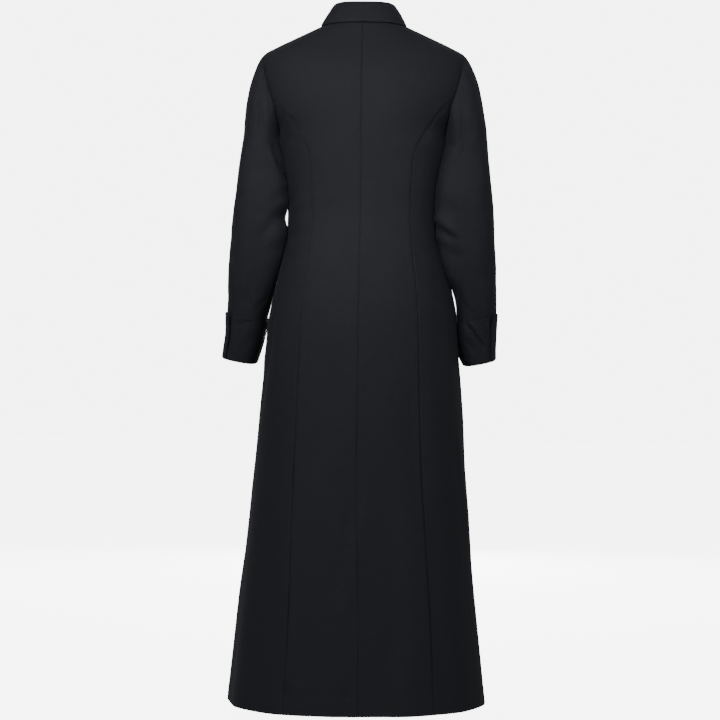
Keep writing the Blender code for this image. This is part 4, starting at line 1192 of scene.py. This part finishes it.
def buildCuff(word, hand):
    # Turned-back cuff: a J of cloth whose front end stands out at the slit on the outer side
    mirror = np.array([hand, 1, 1])
    start = np.radians(cuff["slitTurn"])
    around = start + 2 * np.pi * shares(cuff["round"], cuff["step"], cuff["besideEnds"], cuff["besideEnds"])
    outside, inside, along = cuffStations(word, around)
    ends = unit(outside[:, 1] - outside[:, 0]), unit(outside[:, -1] - outside[:, -2])
    for side in (outside, inside):
        side[:, 0] += ends[0] * cuff["slitGap"] / 2
        side[:, -1] -= ends[1] * cuff["slitGap"] / 2
    normals = pointing(gridNormals(outside, False, 1), outside - inside)
    leaf = ramp(along[:, None] / cuff["leafStart"])
    across, down = runAlong(outside, 1), runAlong(outside)
    fromTop = down[-1:] - down
    nearEdge = toEdge(fromTop, across)

    degrees = np.degrees(around)[None, :] + 0 * across
    creases = folds(cuffFolds[word], degrees, outside[..., 2], cuff["foldRadius"])
    creases = creases * ramp(fromTop / cuff["creaseStart"])
    offset = leaf * (creases + stitchedEdge(nearEdge, cuff) + unevenness(outside, *cuff["waver"], hand))
    outer = outside + np.maximum(offset, cuff["deepest"])[..., None] * normals
    inner = inside + np.maximum(offset, cuff["deepestInside"])[..., None] * normals * leaf[..., None]
    thinnest = cloth["wall"] * cuff["thinnest"]
    tooThin = np.sum((outer - inner) * normals, -1) < thinnest
    inner = np.where(tooThin[..., None], outer - thinnest * normals, inner)
    inner = inner + (outer - inner) * (cuff["thinTop"] * (1 - ramp(fromTop / cuff["thinReach"])))[..., None]

    edge = hump(nearEdge / cuff["edgeWidth"]) * ramp(along[:, None] / cuff["edgeStart"])
    rolled = hump((outside[..., 2] - outside[..., 2].min(axis=0)) / cuff["rollWidth"])
    uv = np.stack([hand * across, down], axis=-1)
    rubbed = cuff["rubbed"] * np.maximum(edge, rolled)
    sew(f"cuffCloth_{word}", f"cuff_{word}", outer * mirror, inner * mirror, uv, 0 * edge, rubbed,
        rounded=("bottom", "left", "right"))
    path, facing = stitchPath(outer, normals, fromTop, across, cuff["stitchIn"], along > cuff["stitchStart"])
    return path * mirror, facing * mirror


# Collar: a stand on the neckline and a fall that rolls over it
collar = {
    "stand": table(("turn", "height", "lean"), (
        (0, 0.0345, 0.22), (50, 0.0338, 0.19), (75, 0.0312, 0.22), (95, 0.0300, 0.25), (135, 0.0290, 0.36),
        (180, 0.0270, 0.50))),
    "leaf": table(("turn", "side", "level", "lift"), (
        (0, 0.0000, -0.0068, 0.0030), (45, 0.0625, -0.0084, 0.0020), (75, 0.0805, -0.0108, 0.0016),
        (90, 0.0860, -0.0118, 0.0016), (115, 0.0860, -0.0260, 0.0025),
        (140, 0.0770, -0.0490, 0.0035), (160, 0.0630, -0.0750, 0.0035), (180, 0.0470, -0.0980, 0.0035))),
    "standRows": 9, "soften": 6, "neckSoften": 30, "rollRadius": 0.0020, "rollRise": 0.0015, "rollRows": 11,
    "leafBow": 0.0050, "bowShare": 0.45, "wall": 0.0017,
    "leafLength": 0.042, "leafStep": 0.0020, "besideEdge": (0.0006, 0.0014, 0.0024),
    # distances down from the stand: where the leaf's form starts and how far it eases, and its side stitching
    "leafStart": (0.008, 0.006), "stitchStart": 0.010, "stitchIn": 0.0058, "groove": 0.0004,
    "pillow": 0.0003, "pillowStart": 0.002, "pillowEnd": 0.0042, "pillowFade": 0.0022,
    "waver": (0.0004, 0.08, 0.9), "edgeWidth": 0.0022, "endGap": 0.0003,
    # parts of the turn over half the lap, and over each of the neckline's front and back
    "lapPart": 1, "neckPart": 6,
}


def neckRing(hand):
    # From the centre front round to the centre back, on one side of the wearer
    # turn is 180 at the centre front and 0 at the centre back
    frontAngle, frontLevel = mainPanel("front")
    backAngle, backLevel = neckLine(False, neckAt)
    angle = np.append(frontAngle[0, lapMiddle:frontNeckEnd], backAngle[::-1][1:])
    level = np.append(frontLevel[0, lapMiddle:frontNeckEnd], backLevel[::-1][1:])
    lapPart, neckPart = collar["lapPart"], collar["neckPart"]
    station = lapPart + neckPart * np.append(neckAt, 2 - neckAt[::-1][1:])
    station = np.append(lapPart * lapSides[lapMiddle:] / body["lapReach"], station)
    turn = 180 * (1 - station / (lapPart + 2 * neckPart))
    return hand * angle, level, lapRise(hand, angle, level), turn


def collarBase():
    # The whole neckline, from the left end at the centre front to the right end
    angle, level, rise, turn = (np.append(a, b[::-1][1:]) for a, b in zip(neckRing(1), neckRing(-1)))
    normal = bodyNormal(angle, level)
    return bodyPoint(angle, level) + rise[:, None] * normal, normal, turn


def standGrid(base, turn):
    # The stand rises from the neckline, leaning outwards by its table
    way = unit(np.gradient(base, axis=0))
    outwards = unit(np.cross(way, [0, 0, 1]) * [1, 1, 0])
    outwards[[0, -1]] = (0, -1, 0)
    outwards = unit(soften(outwards, collar["soften"]))
    outwards[[0, -1]] = (0, -1, 0)
    height, lean = (read(collar["stand"], word, turn)[:, None] for word in ("height", "lean"))
    rise = unit(np.stack([0 * turn, 0 * turn, 1 + 0 * turn], axis=-1) - lean * outwards)
    share = np.linspace(0, 1, collar["standRows"])[:, None, None]
    return base + share * height * rise, outwards, rise


def fallGrid(top, outwards, rise, turn):
    # From the stand's top edge over the roll and down to the leaf's edge on the shoulders
    wall, radius = cloth["wall"], collar["rollRadius"]
    rows = [top - wall * outwards]
    centre = top + collar["rollRise"] * rise + (radius - wall) * outwards
    for bend in np.radians(np.linspace(180, 0, collar["rollRows"])):
        rows.append(centre + radius * (np.cos(bend) * outwards + np.sin(bend) * rise))
    side, level, lift = (read(collar["leaf"], word, turn) for word in ("side", "level", "lift"))
    angle = np.where(turn > 90, angleAt(side, level, True), angleAt(side, level, False))
    angle = angle * np.where(np.arange(len(turn)) < len(turn) / 2, 1, -1)
    edge = bodyPoint(angle, level) + (lift + wall)[:, None] * bodyNormal(angle, level)
    start = rows[-1]
    bow = start + collar["bowShare"] * (edge - start) + collar["leafBow"] * unit(outwards + rise)
    for t in shares(collar["leafLength"], collar["leafStep"], far=collar["besideEdge"])[1:]:
        rows.append((1 - t) ** 2 * start + 2 * t * (1 - t) * bow + t**2 * edge)
    return np.array(rows)


def partEnds(points):
    # The two ends at the centre front stay a gap apart
    kept = points.copy()
    kept[:, 0, 0] = np.maximum(kept[:, 0, 0], collar["endGap"])
    kept[:, -1, 0] = np.minimum(kept[:, -1, 0], -collar["endGap"])
    return kept


def stitchPath(grid, normals, fromEdge, across, inset, rows):
    # A line on the grid, set in from one end column, the last row and the other end column
    fractions = []
    count = grid.shape[1]
    left = [np.interp(inset, run, np.arange(count)) for run in across]
    right = [np.interp(run[-1] - inset, run, np.arange(count)) for run in across]
    last = [np.interp(inset, fromEdge[::-1, j], np.arange(len(grid))[::-1]) for j in range(count)]
    turnLeft, turnRight = int(np.ceil(left[-1])), int(np.floor(right[-1]))
    first = int(np.argmax(rows))
    fractions += [(i, left[i]) for i in range(first, int(last[turnLeft]))]
    fractions += [(last[j], j) for j in range(turnLeft, turnRight + 1)]
    fractions += [(i, right[i]) for i in range(int(last[turnRight]), first - 1, -1)]
    spots = np.array(fractions, dtype=float)
    i, j = spots.astype(int).T
    i, j = np.minimum(i, len(grid) - 2), np.minimum(j, count - 2)
    a, b = (spots[:, 0] - i)[:, None], (spots[:, 1] - j)[:, None]

    def sample(values):
        return ((1 - a) * (1 - b) * values[i, j] + a * (1 - b) * values[i + 1, j]
                + (1 - a) * b * values[i, j + 1] + a * b * values[i + 1, j + 1])

    return sample(grid), unit(sample(normals))


def circle(sides):
    # Turns evenly round, without the last one, which is the first again
    return np.linspace(0, 2 * np.pi, sides, endpoint=False)


stitch = {"first": 0.001, "pitch": 0.0030, "length": 0.0024, "radius": 0.00021, "rise": 0.00018,
          "sunk": 0.00012, "sides": 6, "rings": 6, "endShare": 0.55}


def stitchRow(path, facing):
    # Bowed threads end to end along a path: each is a tube whose ends sink into the cloth
    run = runAlong(path)
    starts = np.arange(stitch["first"], run[-1] - stitch["length"], stitch["pitch"])
    along = np.linspace(0, 1, stitch["rings"])
    at = starts[:, None] + along * stitch["length"]
    middle, up = sampled(at, run, path), unit(sampled(at, run, facing))
    way = unit(middle[:, -1:] - middle[:, :1]) + 0 * middle
    sideways = unit(np.cross(way, up))
    bow = np.sin(np.pi * along)[None, :, None]
    middle = middle + up * (stitch["rise"] * bow - stitch["sunk"])
    around = circle(stitch["sides"])[None, None, :, None]
    radius = stitch["radius"] * (stitch["endShare"] + (1 - stitch["endShare"]) * bow[..., None])
    away = np.cos(around) * sideways[:, :, None] + np.sin(around) * up[:, :, None]
    return middle[:, :, None] + radius * away


def tubeFaces(tubes, first=0):
    # Side faces and end caps of a stack of tubes
    numbers = numbered(tubes.shape[:3], first)
    closed = np.concatenate([numbers, numbers[:, :, :1]], axis=2)
    walls = [face for one in closed for face in quads(one)]
    return walls + list(numbers[:, 0]) + list(numbers[:, -1])


def makeTubes(name, groups, material):
    # One piece from several stacks of tubes
    points, faces, first = [], [], 0
    for tubes in groups:
        faces += tubeFaces(tubes, first)
        points.append(tubes.reshape(-1, 3))
        first += len(points[-1])
    dress(makeMesh(name, np.concatenate(points), faces, material), None)


def buildCollar():
    # Also gives the way through the wall along each panel's neckline, and the path of the edge stitching
    base, baseNormals, turn = collarBase()
    band, outwards, rise = standGrid(base, turn)
    bandNormals = pointing(gridNormals(band, False, 1), outwards)
    neckThrough = unit(soften(-unit(baseNormals + bandNormals[0]), collar["neckSoften"]))
    bandInner = band - cloth["wall"] * bandNormals

    fall = fallGrid(band[-1], outwards, rise, turn)
    fallNormals = gridNormals(fall, False, -1)
    across, down = runAlong(fall, 1), runAlong(fall)
    fromBottom = down[-1:] - down
    nearEdge = toEdge(fromBottom, across)
    leaf = eased(down, *collar["leafStart"])
    offset = leaf * (stitchedEdge(nearEdge, collar) + unevenness(fall, *collar["waver"]))
    wall = np.where(np.arange(len(fall)) <= collar["rollRows"], cloth["wall"], collar["wall"])
    fallInner = fall - wall[:, None, None] * fallNormals
    fallOuter = fall + offset[..., None] * fallNormals
    fallOuter[0], fallInner[0] = bandInner[-1], band[-1]
    turnIn(band, bandInner, 0, base, neckThrough)

    # Painted shade along the neckline seam
    seamShadeMask = hump(runAlong(band) / cloth["seamShadeWidth"])
    uv = np.stack([runAlong(band, 1), band[..., 2]], axis=-1)
    made = makeShell("collarStandCloth", partEnds(band), partEnds(bandInner), blackTwill, uv, seamShadeMask, 0 * seamShadeMask)
    dress(made, "collar_stand")
    # The leaf's edge, and the fall's two ends kept a gap apart at the centre front
    edge = hump(nearEdge / collar["edgeWidth"]) * leaf
    fallOuter, fallInner = partEnds(fallOuter), partEnds(fallInner)
    uv = np.stack([across, -down], axis=-1)
    sew("collarFallCloth", "collar_fall", fallOuter, fallInner, uv, 0 * edge, edge,
        rounded=("bottom", "left", "right"))
    stitched = down[:, len(turn) // 2] > collar["stitchStart"]
    path = stitchPath(fallOuter, fallNormals, fromBottom, across, collar["stitchIn"], stitched)

    middle, last = len(base) // 2, len(base) - 1
    frontLeft = np.append(np.zeros(lapMiddle, dtype=int), np.arange(0, frontNeckEnd - lapMiddle))
    backLeft = middle - np.arange(0, len(neckAt))
    return {"back": {1: neckThrough[backLeft], -1: neckThrough[last - backLeft]},
            "front": {1: neckThrough[frontLeft], -1: neckThrough[last - frontLeft]}}, path


def buildSide(word, hand, neckThrough):
    # One side of the wearer: sleeve, cuff and four panels; gives the cuff's stitching and the front's grid
    ringAngle, ringLevel = armholeRing()
    ringPoints, ringNormals = bodyPoint(ringAngle, ringLevel), bodyNormal(ringAngle, ringLevel)
    turn = ringTurns(ringPoints)
    tube = sleeveBase(word, ringPoints, ringNormals, turn)
    seamThrough = -unit(ringNormals + gridNormals(tube, True, -1)[0])
    seamThrough = unit(soften(seamThrough, arm["soften"], True))
    buildSleeve(word, hand, turn, seamThrough, tube)
    cuffPath = buildCuff(word, hand)

    under, last = len(upperAt) + len(lowerAt) - 2, len(turn)
    holes = {"back": np.arange(0, upperRows), "side_back": np.arange(upperRows - 1, under + 1),
             "side_front": last - np.arange(upperRows - 1, under + 1),
             "front": (last - np.arange(0, upperRows)) % last}
    mirror = np.array([hand, 1, 1])
    for column in ("back", "side_back", "side_front", "front"):
        hole = seamThrough[holes[column]] * mirror
        outer, normal = buildPanel(column, word, hand, hole, neckThrough.get(column, {}).get(hand))
    print(f"{word} side ready")
    return cuffPath, outer, normal


# Buttons and buttonholes down the centre front
button = {
    "count": 9, "top": -0.100, "step": 0.115, "radius": 0.0075, "thick": 0.0026, "seat": 0.00045,
    # shares of the radius and of the thickness: rows of the back, and the edge's middle and roundness
    "backRows": ((0.25, 0.0), (0.80, 0.0), (0.93, 0.06)), "edge": (0.93, 0.42), "edgeRound": (0.07, 0.36),
    "faceShares": (0.955, 0.03), "rings": 26, "sides": 72,
    "face": 0.72, "rimStands": 0.28, "dish": 0.0008, "dishReach": 0.25,
    "rim": 0.80, "rimSpread": 0.15, "rimEnd": 1.02, "rimLow": 0.60,
    "holeRadius": 0.00085, "holeOut": 0.0019, "holeDeep": 0.0011, "holeEdge": (0.75, 0.45),
    "strandRadius": 0.00019, "strandStep": 0.00030, "strandGather": 0.35, "strandReach": 1.12,
    "strandRise": 0.00075, "strandDrop": 0.0004, "strandRings": 11, "strandSides": 6,
    "slotLength": 0.0195, "slotWidth": 0.0030, "slotDrop": 0.0015, "slotRise": 0.00008, "slotOver": 1.08,
    "lapping": 0.00042, "lappingWide": 1.25, "lappingHigh": 0.62, "lappingRib": 0.16,
    "slotStations": 132, "slotSides": 8,
}


def buttonSeats(front, normals):
    # Each button's place on the right front's outer cloth, with the ways across, up and out
    line, out = front[:, lapMiddle], normals[:, lapMiddle]
    for number in range(button["count"]):
        drop = number * button["step"] - button["top"]
        facing = unit(sampled(drop, -line[:, 2], out))
        across = unit(np.cross(facing, [0, 0, 1.0]))
        yield number + 1, sampled(drop, -line[:, 2], line), across, np.cross(across, facing), facing


def buttonDisc():
    # Height over distance and turn: a flat back, a rounded edge and rim, a dished face and four holes
    # The rows run from the middle of the back out to the edge and over the face to its middle
    turn = circle(button["sides"])
    thick, rimAt = button["thick"], button["rim"]
    bend = np.radians([-60, -20, 20, 60])
    edge = np.array(button["edge"]) + np.stack([np.cos(bend), np.sin(bend)], axis=-1) * button["edgeRound"]
    outerRows = np.vstack([button["backRows"], edge])
    faceShare = np.linspace(*button["faceShares"], button["rings"])
    rim = hump((faceShare - rimAt) / button["rimSpread"])
    dish = button["dish"] * ramp((rimAt - faceShare) / button["dishReach"])
    face = thick * (button["face"] + button["rimStands"] * rim) - dish
    pastRim = np.sqrt(np.clip(1 - ((faceShare - rimAt) / (button["rimEnd"] - rimAt)) ** 2, 0, 1))
    rounded = thick * (button["rimLow"] + (1 - button["rimLow"]) * pastRim)
    share = np.append(outerRows[:, 0], faceShare)
    height = np.append(outerRows[:, 1] * thick, np.where(faceShare > rimAt, rounded, face))
    x = button["radius"] * share[:, None] * np.cos(turn)
    y = button["radius"] * share[:, None] * np.sin(turn)
    z = height[:, None] + 0 * x
    onFace = (np.arange(len(share)) >= len(outerRows))[:, None]
    for quarter in np.radians([45, 135, 225, 315]):
        away = np.hypot(x - button["holeOut"] * np.cos(quarter), y - button["holeOut"] * np.sin(quarter))
        hole = 1 - eased(away / button["holeRadius"], *button["holeEdge"])
        z = z - onFace * button["holeDeep"] * hole
    return np.stack([x, y, z], axis=-1)


def crossTubes(seat, across, up, out):
    # Threads through the holes: three strands side by side over each pair
    along = np.linspace(-1, 1, button["strandRings"])
    around = circle(button["strandSides"])[:, None]
    ring = button["strandRadius"] * (np.cos(around) * across + np.sin(around) * out)
    reach = button["holeOut"] / np.sqrt(2)
    rise = button["strandRise"] * (1 - along**4) - button["strandDrop"] * along**4
    tubes = []
    for bar in (-1, 1):
        for strand in (-1, 0, 1):
            x = bar * reach + strand * button["strandStep"] * (1 - button["strandGather"] * along**2)
            y = reach * button["strandReach"] * along
            z = button["thick"] / 2 + rise
            middle = seat + x[:, None] * across + y[:, None] * up + z[:, None] * out
            tubes.append(middle[:, None] + ring)
    return np.array(tubes)


def lappedSlot(place, across, up, out):
    # Satin stitches lapped round a long slot: a flattened tube along a rounded loop, ribbed by each stitch
    share = circle(button["slotStations"])
    halfWidth = button["slotWidth"] / 2
    halfLength = button["slotLength"] / 2 - halfWidth
    x = halfWidth * np.sign(np.sin(share)) * abs(np.sin(share)) ** 0.5
    y = halfLength * np.cos(share) * button["slotOver"]
    y = y + halfWidth * np.sign(np.cos(share)) * abs(np.cos(share)) ** 4
    middle = place + x[:, None] * across + (y - button["slotDrop"])[:, None] * up + button["slotRise"] * out
    way = unit(np.roll(middle, -1, axis=0) - np.roll(middle, 1, axis=0))
    sideways = np.cross(way, out)[:, None]
    around = circle(button["slotSides"])[:, None]
    rib = 1 + button["lappingRib"] * (np.arange(len(share)) % 2)[:, None, None]
    ring = button["lappingWide"] * np.cos(around) * sideways + button["lappingHigh"] * np.sin(around) * out
    return middle[:, None] + button["lapping"] * rib * ring


def ringFaces(rings, first):
    # Faces of a closed loop of rings
    numbers = numbered(rings.shape[:2], first)
    numbers = np.concatenate([numbers, numbers[:1]])
    return list(quads(np.concatenate([numbers, numbers[:, :1]], axis=1)))


def buildButtons(front, normals):
    # The discs, the threads that hold them, and the stitched buttonholes
    disc = buttonDisc()
    slots, slotFaces, bars = [], [], []
    for number, place, across, up, out in buttonSeats(front, normals):
        seat = place + button["seat"] * out
        points = seat + disc[..., :1] * across + disc[..., 1:2] * up + disc[..., 2:] * out
        numbers = numbered(points.shape[:2])
        faces = list(quads(np.hstack([numbers, numbers[:, :1]]))) + [numbers[0], numbers[-1]]
        made = makeMesh(f"buttonDisc_{number}", points.reshape(-1, 3), faces, mouldedButton)
        dress(made, f"button_{number}")
        bars.append(crossTubes(seat, across, up, out))
        loop = lappedSlot(place, across, up, out)
        slotFaces += ringFaces(loop, sum(len(part) for part in slots))
        slots.append(loop.reshape(-1, 3))
    made = makeMesh("buttonholeStitches", np.concatenate(slots), slotFaces, blackThread)
    dress(made, None)
    makeTubes("buttonThreads", bars, blackThread)


neckThrough, collarStitching = buildCollar()
print("collar ready")
leftCuff, _, _ = buildSide("left", 1, neckThrough)
rightCuff, frontCloth, frontNormals = buildSide("right", -1, neckThrough)
buildButtons(frontCloth, frontNormals)
stitchings = (("collarStitches", collarStitching), ("cuffStitches_left", leftCuff),
              ("cuffStitches_right", rightCuff))
for name, path in stitchings:
    makeTubes(name, [stitchRow(*path)], blackThread)
print("buttons and stitching ready")


# Floor, light and camera
studio = {
    "floorLevel": -1.434, "floorReach": 14.0, "floorColour": rgb(0.86, 0.86, 0.86), "floorRoughness": 0.8,
    "floorSpecular": 0.1, "white": rgb(1.0, 1.0, 1.0),
    "surroundings": 0.23, "seen": 6.0,
    "lamps": (  # name, place, aimed at, width, height, power, degrees of spread
        ("keyLight", (1.0, 2.3, 0.9), (0.03, 0.0, -0.30), 1.2, 1.3, 44, 180),
        ("fillLight", (-1.9, 2.5, 0.9), (0.0, 0.0, -0.45), 1.4, 1.8, 22, 180),
        ("backLight", (0.05, 1.9, -0.30), (0.02, 0.0, -0.27), 0.5, 0.5, 0.30, 24),
        ("frontLight", (0.0, -3.6, -0.1), (0.0, 0.0, -0.6), 0.5, 1.6, 130, 180),
    ),
    "distance": 4.0, "azimuth": 182.5, "level": -0.689, "roll": 0.6, "lens": 97.56, "sensor": 36.0,
    "shiftX": -1 / 720,
}


def aimed(name, place, target, width, height, power, spread):
    # A flat lamp that faces its target
    light = bpy.data.lights.new(name, "AREA")
    light.shape = "RECTANGLE"
    light.spread = np.radians(spread)
    light.size, light.size_y, light.energy = width, height, power
    lamp = newObject(name, light)
    lamp.location = place
    lamp.rotation_euler = (Vector(target) - Vector(place)).to_track_quat("-Z", "Y").to_euler()


def buildStudio():
    # Pale floor, lamps, even surroundings and the camera
    reach, level = studio["floorReach"], studio["floorLevel"]
    corners = [(x * reach, y * reach, level) for x, y in ((-1, -1), (1, -1), (1, 1), (-1, 1))]
    material, _, shader = newMaterial("paleFloor")
    fill(shader, {
        "Base Color": studio["floorColour"], "Roughness": studio["floorRoughness"],
        "Specular IOR Level": studio["floorSpecular"],
        "Emission Color": studio["white"], "Emission Strength": studio["seen"]})
    floor = makeMesh("floor", corners, [np.arange(4)], material)
    floor.visible_diffuse = floor.visible_glossy = False
    for lamp in studio["lamps"]:
        aimed(*lamp)

    world = bpy.data.worlds.new("studio")
    bpy.context.scene.world = world
    world.use_nodes = True
    seen = addNode(world.node_tree, "ShaderNodeLightPath", {}, {})
    strength = seen * (studio["seen"] - studio["surroundings"]) + studio["surroundings"]
    fill(world.node_tree.nodes["Background"], {"Color": studio["white"], "Strength": strength})

    turn, roll = np.radians(studio["azimuth"]), np.radians(studio["roll"])
    back = Vector((np.sin(turn), -np.cos(turn), 0))
    camera = newObject("camera", bpy.data.cameras.new("camera"))
    camera.data.lens, camera.data.sensor_width = studio["lens"], studio["sensor"]
    camera.data.shift_x = studio["shiftX"]
    camera.data.dof.use_dof = False
    camera.location = back * studio["distance"] + Vector((0, 0, studio["level"]))
    camera.rotation_mode = "QUATERNION"
    camera.rotation_quaternion = back.to_track_quat("Z", "Y") @ Quaternion((0, 0, 1), roll)
    bpy.context.scene.camera = camera


buildStudio()
print("studio ready")
